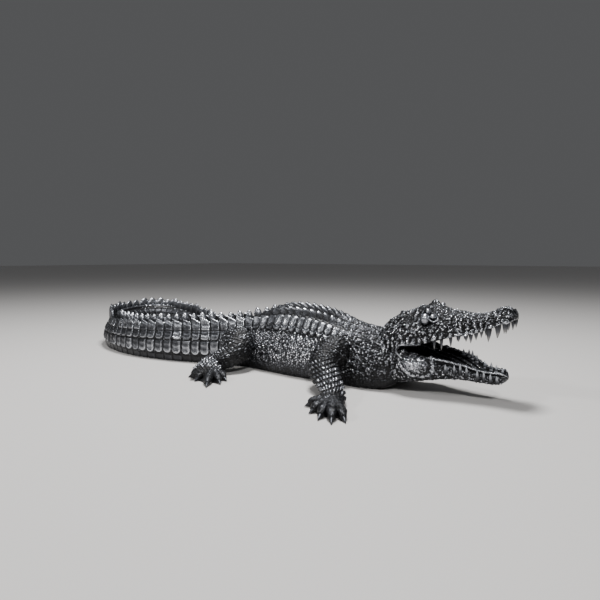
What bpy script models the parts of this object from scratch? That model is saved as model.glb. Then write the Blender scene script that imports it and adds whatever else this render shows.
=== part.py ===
"""Crocodile sculpture: one cast piece that lies on its belly with its mouth open.

The body, from the tip of the tail to the neck, is one skin of rings along a curved spine. The
skull, the lower jaw, the legs, the toes and the teeth are closed bodies of their own, which a
Boolean union joins to it. The head points along +X and the floor is z = 0.
"""

import math

import bmesh
import bpy
from mathutils import Matrix, Vector

# The driving size, in metres: from the tip of the snout to the outside of the tail's bend.
LENGTH = 1.62

# Pose, proportions and carving below are in hundredths of that length.
UNIT = LENGTH / 100.0

# Spine, from the tip of the tail to the neck: x, y, half width, height of the back and of the
# belly.
SPINE = [
    (-22.2, 14.5, 0.35, 0.9, 0.0),
    (-30.9, 17.4, 1.1, 3.3, 0.0),
    (-38.8, 18.9, 1.75, 5.4, 0.0),
    (-46.8, 18.3, 2.2, 6.9, 0.0),
    (-52.8, 15.0, 2.6, 7.9, 0.0),
    (-55.1, 9.6, 2.85, 8.1, 0.0),
    (-54.0, 3.6, 3.0, 7.9, 0.0),
    (-50.0, -1.4, 3.15, 7.6, 0.0),
    (-44.0, -4.9, 3.3, 7.4, 0.0),
    (-37.0, -6.7, 3.4, 7.4, 0.0),
    (-29.6, -7.0, 3.6, 7.8, 0.0),
    (-22.2, -5.7, 3.8, 8.3, 0.0),
    (-15.4, -3.4, 4.1, 8.7, 0.0),
    (-9.3, -1.2, 4.5, 9.4, 0.0),
    (-3.1, 0.0, 5.1, 10.7, 0.0),
    (3.1, 0.0, 5.6, 11.9, 0.0),
    (8.0, 0.0, 5.9, 11.8, 0.0),
    (12.3, 0.0, 5.8, 11.1, 0.0),
    (16.7, 0.0, 5.7, 9.9, 0.0),
    (20.6, 0.0, 5.6, 9.2, 0.0),
    (23.6, 0.0, 5.1, 9.5, 0.3),
    (25.6, 0.0, 4.0, 9.6, 1.2),
    (26.6, 0.0, 2.4, 8.2, 3.0),
]

# Half outlines of the section, from the middle of the belly up to the middle of the back: share
# of the half width, share of the height, and how far the scale there stands out.
TRUNK_SECTION = [
    (0.00, 0.00, 0.0),
    (0.84, 0.00, 0.0),
    (0.97, 0.13, 0.0),
    (1.00, 0.42, 0.0),
    (0.78, 0.72, 0.1),
    (0.62, 0.84, 0.3),
    (0.49, 0.88, 0.0),
    (0.37, 0.94, 0.6),
    (0.25, 0.95, 0.0),
    (0.12, 0.99, 0.7),
    (0.00, 0.97, 0.0),
]
TAIL_SECTION = [
    (0.00, 0.00, 0.0),
    (0.78, 0.00, 0.0),
    (0.95, 0.14, 0.1),
    (1.00, 0.46, 0.15),
    (0.87, 0.74, 0.15),
    (0.74, 0.86, 0.5),
    (0.58, 0.83, 0.0),
    (0.36, 0.93, 0.6),
    (0.22, 0.90, 0.0),
    (0.10, 0.90, 0.1),
    (0.00, 0.90, 0.0),
]
WHIP_SECTION = [
    (0.00, 0.00, 0.0),
    (0.74, 0.00, 0.0),
    (0.95, 0.14, 0.1),
    (0.98, 0.44, 0.15),
    (0.72, 0.70, 0.1),
    (0.52, 0.82, 0.1),
    (0.40, 0.85, 0.0),
    (0.28, 0.88, 0.0),
    (0.20, 0.91, 0.1),
    (0.12, 0.97, 1.1),
    (0.00, 0.98, 1.5),
]

# Where one section turns into the next, as lengths of spine from the tip of the tail.
WHIP_TO_TAIL = (48.0, 70.0)
TAIL_TO_TRUNK = (92.0, 106.0)
SCUTES_FADE = (114.0, 122.0)

# Length of one whorl of scales at the tail's tip, at its thickest, and on the trunk.
WHORL_AT_TIP = 2.1
WHORL_ON_TAIL = 2.3
WHORL_ON_TRUNK = 1.35
WHORL_ON_NECK = 2.0

# A scale is highest at the first share of its whorl and lowest at the second. Its tip leans back
# by a share of its height. Where the body is narrower than a width, its scales shrink with it.
SCALE_HIGH = 0.16
SCALE_LOW = 0.90
SCALE_LEAN = 0.5
FULL_SCALE_WIDTH = 2.0

# Scales on the flank stand out sideways and those on the back upwards. They turn from one to the
# other at this rate from the widest line of the section inwards.
SCALE_TURN = 1.6

# The first whorl starts this far from the tip of the tail.
FIRST_WHORL = 0.6

# The heading of the spine is read over this length on either side of a place.
HEADING_STEP = 0.05

# Skull and upper jaw, from the neck to the snout: x, half width, height of lip, height of top.
SKULL = [
    (21.6, 2.9, 5.6, 8.4),
    (23.8, 3.9, 6.2, 10.9),
    (26.2, 4.6, 6.9, 12.0),
    (28.4, 4.6, 7.5, 12.4),
    (30.6, 4.1, 7.9, 12.7),
    (32.4, 3.5, 8.5, 12.5),
    (34.2, 3.0, 9.05, 12.2),
    (36.2, 2.6, 9.45, 12.2),
    (38.2, 2.4, 10.1, 12.5),
    (39.8, 2.35, 10.8, 13.0),
    (41.0, 2.35, 11.4, 13.5),
    (42.0, 2.0, 11.7, 13.3),
    (42.6, 1.3, 11.9, 12.9),
]
SKULL_SECTION = [
    (0.00, 0.10),
    (0.55, 0.08),
    (0.86, 0.00),
    (1.00, 0.06),
    (1.00, 0.30),
    (0.88, 0.60),
    (0.64, 0.88),
    (0.34, 0.97),
    (0.00, 1.00),
]

# Lower jaw, from the throat to the chin: x, half width, height of underside, height of gum.
JAW = [
    (22.8, 3.2, 1.4, 5.6),
    (25.4, 4.4, 1.2, 6.8),
    (28.0, 4.6, 1.7, 6.2),
    (30.5, 4.0, 2.2, 5.6),
    (33.0, 3.2, 2.6, 5.4),
    (35.6, 2.6, 2.8, 4.9),
    (38.0, 2.3, 2.75, 4.4),
    (39.8, 2.1, 2.7, 4.25),
    (40.9, 1.7, 2.9, 4.2),
    (41.6, 1.0, 3.2, 4.0),
]
JAW_SECTION = [
    (0.00, 0.00),
    (0.62, 0.03),
    (0.92, 0.22),
    (1.00, 0.52),
    (0.92, 0.78),
    (0.80, 1.00),
    (0.62, 0.78),
    (0.34, 0.60),
    (0.00, 0.55),
]

# Round lumps on each side of the head: centre x, y, z and radii along x, y, z.
LUMPS = {
    "eye": (30.3, 3.2, 11.45, 0.95, 0.85, 0.85),
    "brow": (30.7, 2.3, 12.7, 1.5, 0.8, 1.1),
    "ear_flap": (27.4, 3.75, 11.2, 1.9, 0.8, 0.6),
    "jaw_muscle": (28.0, 3.5, 4.3, 2.9, 1.6, 2.0),
    "nostril": (40.7, 0.9, 13.0, 1.2, 0.85, 0.8),
}
LUMP_SEGMENTS = 8
LUMP_RINGS = 5

# Teeth of one side, from the back to the front: x at the root and length.
UPPER_TEETH = [
    (31.4, 1.6), (32.5, 1.8), (33.9, 1.7), (35.1, 1.0), (36.1, 1.0), (37.0, 1.3),
    (37.9, 1.1), (39.3, 1.7), (40.3, 1.2), (41.1, 1.1), (41.8, 0.9),
]
LOWER_TEETH = [
    (32.3, 0.9), (33.4, 1.0), (34.7, 1.0), (35.7, 1.1), (36.6, 1.1), (38.0, 1.1),
    (39.0, 1.0), (39.9, 1.2), (40.8, 1.0),
]
# Where a tooth's root sits in its jaw's section: share of the half width and of the height.
UPPER_ROOT = (0.92, 0.05)
LOWER_ROOT = (0.92, 0.70)
TOOTH_RADIUS = 0.32
TOOTH_SIDES = 5
TOOTH_SPLAY = 0.25

# Legs, as x, y, z, half width across and half width the other way, from the body outwards. The
# right legs show. The left ones are the same legs, moved along by a step of their own.
FRONT_LEG = [
    (15.2, -2.2, 5.2, 2.9, 2.4),
    (15.6, -5.2, 5.3, 2.9, 2.5),
    (15.5, -7.5, 4.5, 2.5, 2.2),
    (16.4, -9.8, 3.1, 2.15, 1.8),
    (19.3, -12.4, 1.9, 1.85, 1.35),
    (21.6, -14.9, 1.2, 1.9, 1.0),
    (22.8, -17.0, 0.9, 2.2, 0.8),
    (23.5, -18.6, 0.75, 2.0, 0.65),
]
HIND_LEG = [
    (-7.4, -1.8, 4.7, 3.4, 2.6),
    (-6.4, -4.6, 4.8, 3.5, 2.7),
    (-4.6, -7.1, 4.2, 3.0, 2.5),
    (-4.6, -9.4, 2.9, 2.5, 1.9),
    (-6.2, -11.6, 1.7, 2.0, 1.4),
    (-5.6, -13.6, 1.2, 2.1, 1.0),
    (-4.2, -15.4, 0.9, 2.4, 0.8),
    (-3.2, -16.8, 0.75, 2.2, 0.65),
]
# Toe tips of each foot in plan, and where the toes leave it.
FRONT_TOES = [(19.6, -19.2), (22.1, -21.6), (24.7, -23.2), (27.0, -23.5), (28.2, -22.0)]
FRONT_PALM = (22.6, -16.4)
HIND_TOES = [(-6.8, -17.2), (-3.7, -18.5), (1.0, -20.2), (1.4, -17.4), (0.6, -15.1)]
HIND_PALM = (-4.6, -13.6)
LEFT_FRONT_STEP = -2.5
LEFT_HIND_STEP = 3.0
LEG_SIDES = 8
TOE_SIDES = 5

# A toe, from the palm to the claw's tip: share of its length, half width, height of its axis. It
# is taller than it is wide by a factor.
TOE_DEPTH = 1.2
TOE = [
    (0.20, 0.75, 0.95),
    (0.70, 0.62, 0.80),
    (0.80, 0.40, 0.70),
    (1.00, 0.06, 0.20),
]

# The first toe's underside clears the floor by this much, and each further toe by a step more.
TOE_CLEARANCE = 0.05
TOE_CLEARANCE_STEP = 0.02


def clear_scene():
    """Remove every object that is in the file."""
    for obj in list(bpy.data.objects):
        bpy.data.objects.remove(obj, do_unlink=True)


def smoothstep(value, edges):
    """Go smoothly from 0 to 1 as value passes from the first edge to the second."""
    low, high = edges
    share = min(max((value - low) / (high - low), 0.0), 1.0)
    return share * share * (3.0 - 2.0 * share)


def mix(first, second, share):
    """Blend two rows of numbers."""
    return [a + (b - a) * share for a, b in zip(first, second)]


class Track:
    """A smooth curve through rows of numbers, read by the length along their first columns."""

    def __init__(self, rows, columns):
        self.rows = rows
        self.places = [0.0]
        for before, after in zip(rows, rows[1:]):
            step = math.dist(before[:columns], after[:columns])
            self.places.append(self.places[-1] + step)
        self.length = self.places[-1]

    def slope(self, index):
        """Rate of change of each column at one row."""
        low = max(index - 1, 0)
        high = min(index + 1, len(self.rows) - 1)
        span = self.places[high] - self.places[low]
        return [(b - a) / span for a, b in zip(self.rows[low], self.rows[high])]

    def at(self, place):
        """Every column at one place along the curve."""
        place = min(max(place, 0.0), self.length)
        index = 0
        while index < len(self.rows) - 2 and self.places[index + 1] < place:
            index += 1
        span = self.places[index + 1] - self.places[index]
        t = (place - self.places[index]) / span
        first = self.slope(index)
        second = self.slope(index + 1)
        h00 = (1.0 + 2.0 * t) * (1.0 - t) ** 2
        h10 = t * (1.0 - t) ** 2
        h01 = t * t * (3.0 - 2.0 * t)
        h11 = t * t * (t - 1.0)
        row = zip(self.rows[index], self.rows[index + 1], first, second)
        return [h00 * a + h01 * b + span * (h10 * c + h11 * d) for a, b, c, d in row]

    def heading(self, place):
        """Unit direction in plan at one place."""
        before = self.at(place - HEADING_STEP)
        after = self.at(place + HEADING_STEP)
        return Vector((after[0] - before[0], after[1] - before[1])).normalized()


def make_object(name, rings, material):
    """Skin a list of rings with as many points each, and close both ends."""
    mesh = bpy.data.meshes.new(name)
    bm = bmesh.new()
    loops = [[bm.verts.new(Vector(point) * UNIT) for point in ring] for ring in rings]
    skin_rings(bm, loops)
    bmesh.ops.recalc_face_normals(bm, faces=bm.faces)
    bm.to_mesh(mesh)
    bm.free()
    return link(name, mesh, material)


def skin_rings(bm, loops):
    """Join each ring of vertices to the next with quads, and cap the first and the last."""
    for lower, upper in zip(loops, loops[1:]):
        count = len(lower)
        for index in range(count):
            after = (index + 1) % count
            bm.faces.new((lower[index], lower[after], upper[after], upper[index]))
    bm.faces.new(loops[0])
    bm.faces.new(loops[-1])


def link(name, mesh, material):
    """Put a mesh in the scene as an object."""
    mesh.materials.append(material)
    obj = bpy.data.objects.new(name, mesh)
    bpy.context.scene.collection.objects.link(obj)
    return obj


def section_at(place):
    """Half outline of the body at one place along the spine."""
    tail = smoothstep(place, WHIP_TO_TAIL)
    trunk = smoothstep(place, TAIL_TO_TRUNK)
    scutes = 1.0 - smoothstep(place, SCUTES_FADE)
    rows = []
    for whip_row, tail_row, trunk_row in zip(WHIP_SECTION, TAIL_SECTION, TRUNK_SECTION):
        row = mix(mix(whip_row, tail_row, tail), trunk_row, trunk)
        row[2] *= scutes
        rows.append(row)
    return rows


def body_ring(track, place, raised):
    """One ring of the body; raised is 1 where its scales stand out and 0 in a groove."""
    x, y, half_width, height, belly = track.at(place)
    belly = max(belly, 0.0)
    ahead = track.heading(place)
    side = Vector((-ahead.y, ahead.x))
    size = min(1.0, half_width / FULL_SCALE_WIDTH)
    half = []
    for across, up, scale in section_at(place):
        out = scale * raised * size
        steep = min(1.0, (1.0 - across) * SCALE_TURN)
        reach = across * half_width + out * (1.0 - steep) * (across > 0.0)
        rise = belly + up * (height - belly) + out * steep
        back = out * SCALE_LEAN * steep
        half.append((reach, rise, back))
    ring = []
    for sign, rows in ((1.0, half[1:]), (-1.0, half[-2::-1][:-1])):
        for reach, rise, back in rows:
            place_x = x + side.x * reach * sign - ahead.x * back
            place_y = y + side.y * reach * sign - ahead.y * back
            ring.append((place_x, place_y, rise))
    ring.append((x, y, belly))
    return ring


def whorl_length(place):
    """Length of one whorl of scales at one place along the spine."""
    tail = smoothstep(place, (FIRST_WHORL, WHIP_TO_TAIL[1]))
    trunk = smoothstep(place, TAIL_TO_TRUNK)
    neck = smoothstep(place, SCUTES_FADE)
    on_tail = WHORL_AT_TIP + (WHORL_ON_TAIL - WHORL_AT_TIP) * tail
    on_body = on_tail + (WHORL_ON_TRUNK - on_tail) * trunk
    return on_body + (WHORL_ON_NECK - on_body) * neck


def make_body(material):
    """Tail, trunk and neck, with a raised ring and a groove for each whorl of scales."""
    track = Track(SPINE, 2)
    rings = [body_ring(track, 0.0, 0.0)]
    place = FIRST_WHORL
    while place < track.length - 2.0 * WHORL_ON_TRUNK:
        step = whorl_length(place)
        rings.append(body_ring(track, place + step * SCALE_HIGH, 1.0))
        rings.append(body_ring(track, place + step * SCALE_LOW, 0.0))
        place += step
    rings.append(body_ring(track, track.length, 0.0))
    return make_object("crocodile", rings, material)


def loft(name, rows, section, material):
    """A part of the head: rows of x, half width, low and high, with one half outline."""
    rings = []
    for x, half_width, low, high in rows:
        ring = []
        for sign, outline in ((-1.0, section), (1.0, section[-2:0:-1])):
            for across, up in outline:
                ring.append((x, sign * across * half_width, low + up * (high - low)))
        rings.append(ring)
    return make_object(name, rings, material)


def make_lumps(material):
    """Eyes, brows, ears, jaw muscles and nostrils, on both sides of the head."""
    return [make_lump(name, side, row, material) for name, row in LUMPS.items() for side in (-1.0, 1.0)]


def make_lump(name, side, row, material):
    """One round lump; side is -1 on the right of the animal and 1 on the left."""
    x, y, z, radius_x, radius_y, radius_z = row
    size = Matrix.Diagonal((radius_x, radius_y, radius_z, 1.0))
    place = Matrix.Translation((x, side * y, z))
    mesh = bpy.data.meshes.new(name)
    bm = bmesh.new()
    bmesh.ops.create_uvsphere(bm, u_segments=LUMP_SEGMENTS, v_segments=LUMP_RINGS, radius=1.0)
    bmesh.ops.transform(bm, matrix=Matrix.Scale(UNIT, 4) @ place @ size, verts=bm.verts)
    bm.to_mesh(mesh)
    bm.free()
    return link(name, mesh, material)


def tube(name, rows, sides, floor, material):
    """A tapered tube along x, y, z, with a half width across and one the other way."""
    rings = []
    for index, (x, y, z, half_across, half_up) in enumerate(rows):
        before = Vector(rows[max(index - 1, 0)][:3])
        after = Vector(rows[min(index + 1, len(rows) - 1)][:3])
        ahead = (after - before).normalized()
        across = ahead.cross(Vector((0.0, 0.0, 1.0))).normalized()
        upward = across.cross(ahead)
        ring = []
        for step in range(sides):
            angle = 2.0 * math.pi * (step + 0.5) / sides
            point = Vector((x, y, z))
            point += across * half_across * math.cos(angle)
            point += upward * half_up * math.sin(angle)
            point.z = max(point.z, floor)
            ring.append(tuple(point))
        rings.append(ring)
    return make_object(name, rings, material)


def make_leg(name, rows, palm, toes, step, side, material):
    """One leg with its toes; side is 1 on the right of the animal and -1 on the left."""
    def placed(x, y):
        return (x + step, y * side)

    leg_rows = [placed(x, y) + (z, across, up) for x, y, z, across, up in rows]
    pieces = [tube(name, leg_rows, LEG_SIDES, 0.0, material)]
    for number, tip in enumerate(toes):
        toe_rows = []
        for share, half_width, height in TOE:
            x = palm[0] + (tip[0] - palm[0]) * share
            y = palm[1] + (tip[1] - palm[1]) * share
            toe_rows.append(placed(x, y) + (height, half_width, half_width * TOE_DEPTH))
        toe_name = "%s_toe_%d" % (name, number)
        floor = TOE_CLEARANCE + TOE_CLEARANCE_STEP * number
        pieces.append(tube(toe_name, toe_rows, TOE_SIDES, floor, material))
    return pieces


def make_tooth(bm, root, tip):
    """Add one cone, with its root a little inside the gum."""
    axis = (tip - root).normalized()
    base = root - axis * TOOTH_RADIUS
    across = axis.cross(Vector((1.0, 0.0, 0.0))).normalized()
    ahead = across.cross(axis)
    ring = []
    for step in range(TOOTH_SIDES):
        angle = 2.0 * math.pi * step / TOOTH_SIDES
        spread = across * math.cos(angle) + ahead * math.sin(angle)
        ring.append(bm.verts.new((base + spread * TOOTH_RADIUS) * UNIT))
    point = bm.verts.new(tip * UNIT)
    bm.faces.new(ring)
    for step in range(TOOTH_SIDES):
        bm.faces.new((ring[step], ring[(step + 1) % TOOTH_SIDES], point))


def make_teeth(name, teeth, jaw_rows, root_share, direction, material):
    """All teeth of one jaw; direction is 1 for teeth that point up and -1 for down."""
    across, up = root_share
    track = Track(jaw_rows, 1)
    mesh = bpy.data.meshes.new(name)
    bm = bmesh.new()
    for x, length in teeth:
        _, half_width, low, high = track.at(x - jaw_rows[0][0])
        for side in (-1.0, 1.0):
            root = Vector((x, side * half_width * across, low + up * (high - low)))
            lean = Vector((0.0, side * TOOTH_SPLAY, direction)).normalized()
            make_tooth(bm, root, root + lean * length)
    bmesh.ops.recalc_face_normals(bm, faces=bm.faces)
    bm.to_mesh(mesh)
    bm.free()
    return link(name, mesh, material)


def silver():
    """Bright silver over black, as one even colour."""
    material = bpy.data.materials.new("antiqued_silver")
    material.use_nodes = True
    shader = material.node_tree.nodes["Principled BSDF"]
    shader.inputs["Base Color"].default_value = (0.42, 0.43, 0.45, 1.0)
    shader.inputs["Metallic"].default_value = 0.9
    shader.inputs["Roughness"].default_value = 0.35
    return material


def unite(body, others):
    """Join the other closed bodies to the first with one exact union."""
    guides = bpy.data.collections.new("cast_parts")
    bpy.context.scene.collection.children.link(guides)
    for obj in others:
        obj.hide_render = True
        obj.display_type = "WIRE"
        bpy.context.scene.collection.objects.unlink(obj)
        guides.objects.link(obj)
    union = body.modifiers.new("cast_as_one", "BOOLEAN")
    union.operation = "UNION"
    union.solver = "EXACT"
    union.operand_type = "COLLECTION"
    union.collection = guides


def centre(objects):
    """Move every mesh so that the whole stands on the origin, in the middle of its box."""
    points = [vertex.co for obj in objects for vertex in obj.data.vertices]
    low = [min(point[axis] for point in points) for axis in range(3)]
    high = [max(point[axis] for point in points) for axis in range(3)]
    shift = Vector((-(low[0] + high[0]) / 2.0, -(low[1] + high[1]) / 2.0, -low[2]))
    for obj in objects:
        obj.data.transform(Matrix.Translation(shift))


def main():
    """Build the sculpture."""
    clear_scene()
    material = silver()
    body = make_body(material)
    others = [loft("skull", SKULL, SKULL_SECTION, material)]
    others.append(loft("lower_jaw", JAW, JAW_SECTION, material))
    others += make_lumps(material)
    for side, front_step, hind_step in ((1.0, 0.0, 0.0), (-1.0, LEFT_FRONT_STEP, LEFT_HIND_STEP)):
        others += make_leg("front_leg", FRONT_LEG, FRONT_PALM, FRONT_TOES, front_step, side, material)
        others += make_leg("hind_leg", HIND_LEG, HIND_PALM, HIND_TOES, hind_step, side, material)
    others.append(make_teeth("upper_teeth", UPPER_TEETH, SKULL, UPPER_ROOT, -1.0, material))
    others.append(make_teeth("lower_teeth", LOWER_TEETH, JAW, LOWER_ROOT, 1.0, material))
    centre([body] + others)
    unite(body, others)


main()
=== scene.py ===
"""Looks of the crocodile sculpture: a cast in silver over black, scale by scale.

The fixed frame gives the size and the place. The body, the skull, the lower jaw and the legs are
skins of rings with every scale raised in the mesh, and the teeth, claws and crest scutes are set
along them with geometry nodes. Lengths are in hundredths of the sculpture's own length.
"""

from __future__ import annotations

import logging
import math
from dataclasses import dataclass, field
from enum import Enum
from typing import Sequence

import bpy
import numpy as np
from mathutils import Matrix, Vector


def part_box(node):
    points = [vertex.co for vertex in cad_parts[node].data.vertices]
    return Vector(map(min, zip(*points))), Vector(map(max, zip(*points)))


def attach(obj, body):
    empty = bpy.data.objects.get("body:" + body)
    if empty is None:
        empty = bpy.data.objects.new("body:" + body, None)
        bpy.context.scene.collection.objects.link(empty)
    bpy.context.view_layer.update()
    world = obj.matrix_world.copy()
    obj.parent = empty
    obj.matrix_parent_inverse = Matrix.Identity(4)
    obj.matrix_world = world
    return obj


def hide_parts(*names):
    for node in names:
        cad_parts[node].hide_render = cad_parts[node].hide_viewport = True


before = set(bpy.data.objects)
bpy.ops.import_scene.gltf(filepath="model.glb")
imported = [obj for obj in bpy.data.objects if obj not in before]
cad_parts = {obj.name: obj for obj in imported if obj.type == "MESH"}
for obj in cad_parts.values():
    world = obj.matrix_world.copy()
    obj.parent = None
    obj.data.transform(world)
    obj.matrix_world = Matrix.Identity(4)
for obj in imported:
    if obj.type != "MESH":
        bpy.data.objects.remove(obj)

NODE = "crocodile"
BODY = "root"

# The cast reaches from the outside of the tail's bend to the tip of the snout, and the snout's
# tip stands at this place along the pose's own x.
SPAN = 100.71
SNOUT_TIP = 42.6

# How far apart the spine is read to find its direction, and how dark a scute's root is beside its
# tip, a painted shade at the root.
HEADING_STEP = 0.05
ROOT_SHARE = 0.4
TURN = 2.0 * math.pi

Array = np.ndarray
# Root, tip and size of one cone.
Stand = tuple[np.ndarray, np.ndarray, np.ndarray]
log = logging.getLogger("crocodile")


class Side(Enum):
    """A side of the animal, as the sign of y."""

    RIGHT = -1.0
    LEFT = 1.0


class Limb(Enum):
    """A pair of legs."""

    FRONT = "front"
    HIND = "hind"


@dataclass(frozen=True)
class CastFrame:
    """Turns the pose's own lengths into metres in the shared frame."""

    unit: float
    shift_x: float

    @classmethod
    def from_box(cls) -> "CastFrame":
        """Read the unit and the place from the cast's box in the shared frame.

        Returns:
            The frame that every mesh is placed with.
        """
        low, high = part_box(NODE)
        unit = (high[0] - low[0]) / SPAN
        return cls(unit, high[0] - SNOUT_TIP * unit)

    def metres(self, points: Array) -> Array:
        """Place points of the pose in the shared frame.

        Args:
            points: Points in the pose's lengths, with x, y, z last.

        Returns:
            The same points in metres.
        """
        placed = np.asarray(points, float) * self.unit
        placed[..., 0] += self.shift_x
        return placed


def smooth(value: Array, low: float, high: float) -> Array:
    """Go smoothly from 0 to 1 between two values.

    Args:
        value: Where to read the step.
        low: Where it starts.
        high: Where it ends.

    Returns:
        The step, as large as value.
    """
    share = np.clip((value - low) / (high - low), 0.0, 1.0)
    return share * share * (3.0 - 2.0 * share)


def bell(value: Array, width: float) -> Array:
    """A rounded hump round 0.

    Args:
        value: Distance from the middle.
        width: Distance at which it has fallen to about a third.

    Returns:
        The hump, 1 at its top.
    """
    return np.exp(-((value / width) ** 2))


def chance(first: Array, second: Array, seed: float) -> Array:
    """A fixed number between 0 and 1 for each pair of numbers.

    Args:
        first: One number of the pair.
        second: The other one.
        seed: Picks another set.

    Returns:
        The numbers, as large as the pair.
    """
    value = np.sin(first * 127.1 + second * 311.7 + seed * 74.7) * 43758.5453
    return value - np.floor(value)


def mottle(x: Array, y: Array, size: float, seed: float) -> Array:
    """Soft uneven patches.

    Args:
        x: Place along the surface.
        y: Place across the surface.
        size: Rough size of a patch.
        seed: Picks another set.

    Returns:
        Numbers between 0 and 1.
    """
    x, y = np.broadcast_arrays(x / size, y / size)
    column, row = np.floor(x), np.floor(y)
    share_x, share_y = smooth(x - column, 0.0, 1.0), smooth(y - row, 0.0, 1.0)
    lower, upper = (
        chance(column, level, seed) * (1.0 - share_x) + chance(column + 1.0, level, seed) * share_x
        for level in (row, row + 1.0)
    )
    return lower * (1.0 - share_y) + upper * share_y


def crumple(x: Array, y: Array, size: float, seed: float) -> Array:
    """Thin winding ridges with pits between them.

    Args:
        x: Place along the surface.
        y: Place across the surface.
        size: Rough distance between ridges.
        seed: Picks another set.

    Returns:
        Numbers between 0 and 1, and 1 on a ridge.
    """
    bent_x = x + size * (mottle(x, y, size * 2.3, seed + 3.1) - 0.5) * 1.6
    bent_y = y + size * (mottle(x, y, size * 2.3, seed + 7.7) - 0.5) * 1.6
    wide = 1.0 - np.abs(2.0 * mottle(bent_x, bent_y, size * 1.5, seed) - 1.0)
    fine = 1.0 - np.abs(2.0 * mottle(bent_x, bent_y, size * 0.8, seed + 1.9) - 1.0)
    return smooth(wide, 0.45, 1.0) * 0.6 + smooth(fine, 0.35, 1.0) * 0.4


def blur(values: Array, reach: int, wrap: bool) -> Array:
    """Average of each point's surroundings.

    Args:
        values: Numbers on a grid of rings.
        reach: How many points to look in each direction.
        wrap: Whether the grid goes round.

    Returns:
        The averages.
    """
    for axis in (0, 1):
        margins = [(0, 0), (0, 0)]
        margins[axis] = (reach + 1, reach)
        mode = "wrap" if wrap and axis == 1 else "edge"
        sums = np.cumsum(np.pad(values, margins, mode=mode), axis=axis)
        count = values.shape[axis]
        low = np.take(sums, np.arange(count), axis=axis)
        high = np.take(sums, np.arange(count) + 2 * reach + 1, axis=axis)
        values = (high - low) / (2 * reach + 1)
    return values


def standout(
    height: Array, depth: float, level: float = 0.0, wrap: bool = False, reach: int = 6
) -> Array:
    """How far each point stands above its surroundings, as rubbing by hand would find it.

    Args:
        height: Relief on a grid of rings.
        depth: Height or depth that counts as all the way up or down.
        level: Height above the surroundings that counts as half way.
        wrap: Whether the grid goes round.
        reach: How many points the surroundings reach.

    Returns:
        0 in the pits and 1 on the ridges.
    """
    return smooth(height - blur(height, reach, wrap), level - depth, level + depth)


@dataclass(frozen=True)
class Beads:
    """Rounded scales that lie side by side, as on the flanks.

    Across and along are the size of one. Jitter moves them out of line, groove is how wide the
    gaps between them are, and peak how pointed they are. Stagger shifts each second row, and turns
    is how many go round before they repeat.
    """

    across: float
    along: float
    jitter: float = 0.6
    groove: float = 0.28
    peak: float = 0.5
    seed: float = 1.0
    stagger: float = 0.5
    turns: float = 1.0e6

    def relief(self, x: Array, y: Array) -> tuple[Array, Array]:
        """Height of the beads.

        Args:
            x: Place along the surface.
            y: Place across the surface.

        Returns:
            Height from 0 to 1, and one number for each bead.
        """
        x, y = np.broadcast_arrays(x / self.along, y / self.across)
        y = y + self.stagger * np.abs(np.mod(np.floor(x), 2.0))
        column, row = np.floor(x), np.floor(y)
        near = np.full(x.shape, 9.0)
        next_near = near.copy()
        pick = np.zeros(x.shape)
        for step_x in (-1.0, 0.0, 1.0):
            shift = self.stagger * (np.mod(column + step_x, 2.0) - np.mod(column, 2.0))
            first_row = np.floor(y + shift)
            for step_y in (-1.0, 0.0, 1.0):
                cell_x, cell_y = column + step_x, first_row + step_y
                name = np.mod(cell_y, self.turns)
                middle_x = cell_x + 0.5 + self.jitter * (chance(cell_x, name, self.seed) - 0.5)
                off_middle = self.jitter * (chance(cell_x, name, self.seed + 5.3) - 0.5)
                middle_y = cell_y + 0.5 - shift + off_middle
                distance = np.hypot(middle_x - x, middle_y - y)
                closer = distance < near
                next_near = np.where(closer, near, np.minimum(next_near, distance))
                pick = np.where(closer, chance(cell_x, name, self.seed + 9.1), pick)
                near = np.where(closer, distance, near)
        edge = smooth(next_near - near, 0.02, self.groove)
        dome = np.clip(1.0 - near / 0.8, 0.0, 1.0)
        return edge * (1.0 - self.peak + self.peak * dome), pick


class Track:
    """A smooth curve through rows of numbers, read by the length along their first columns."""

    def __init__(self, rows: Sequence[Sequence[float]], columns: int) -> None:
        """Measure the rows.

        Args:
            rows: One row of numbers for each station.
            columns: How many of the first columns are a place.
        """
        self.rows = np.array(rows, float)
        steps = np.linalg.norm(np.diff(self.rows[:, :columns], axis=0), axis=1)
        self.places = np.concatenate([[0.0], np.cumsum(steps)])
        self.length = float(self.places[-1])
        low = np.maximum(np.arange(len(rows)) - 1, 0)
        high = np.minimum(np.arange(len(rows)) + 1, len(rows) - 1)
        spans = (self.places[high] - self.places[low])[:, None]
        self.slopes = (self.rows[high] - self.rows[low]) / spans

    def at(self, place: Array) -> Array:
        """Every column at some places along the curve.

        Args:
            place: Lengths along the curve.

        Returns:
            One row of numbers for each place.
        """
        place = np.clip(np.asarray(place, float), 0.0, self.length)
        index = np.clip(np.searchsorted(self.places, place, side="right") - 1, 0, len(self.rows) - 2)
        span = self.places[index + 1] - self.places[index]
        t = ((place - self.places[index]) / span)[..., None]
        span = span[..., None]
        value = (1.0 + 2.0 * t) * (1.0 - t) ** 2 * self.rows[index]
        value = value + t * t * (3.0 - 2.0 * t) * self.rows[index + 1]
        value = value + span * t * (1.0 - t) ** 2 * self.slopes[index]
        return value + span * t * t * (t - 1.0) * self.slopes[index + 1]


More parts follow.
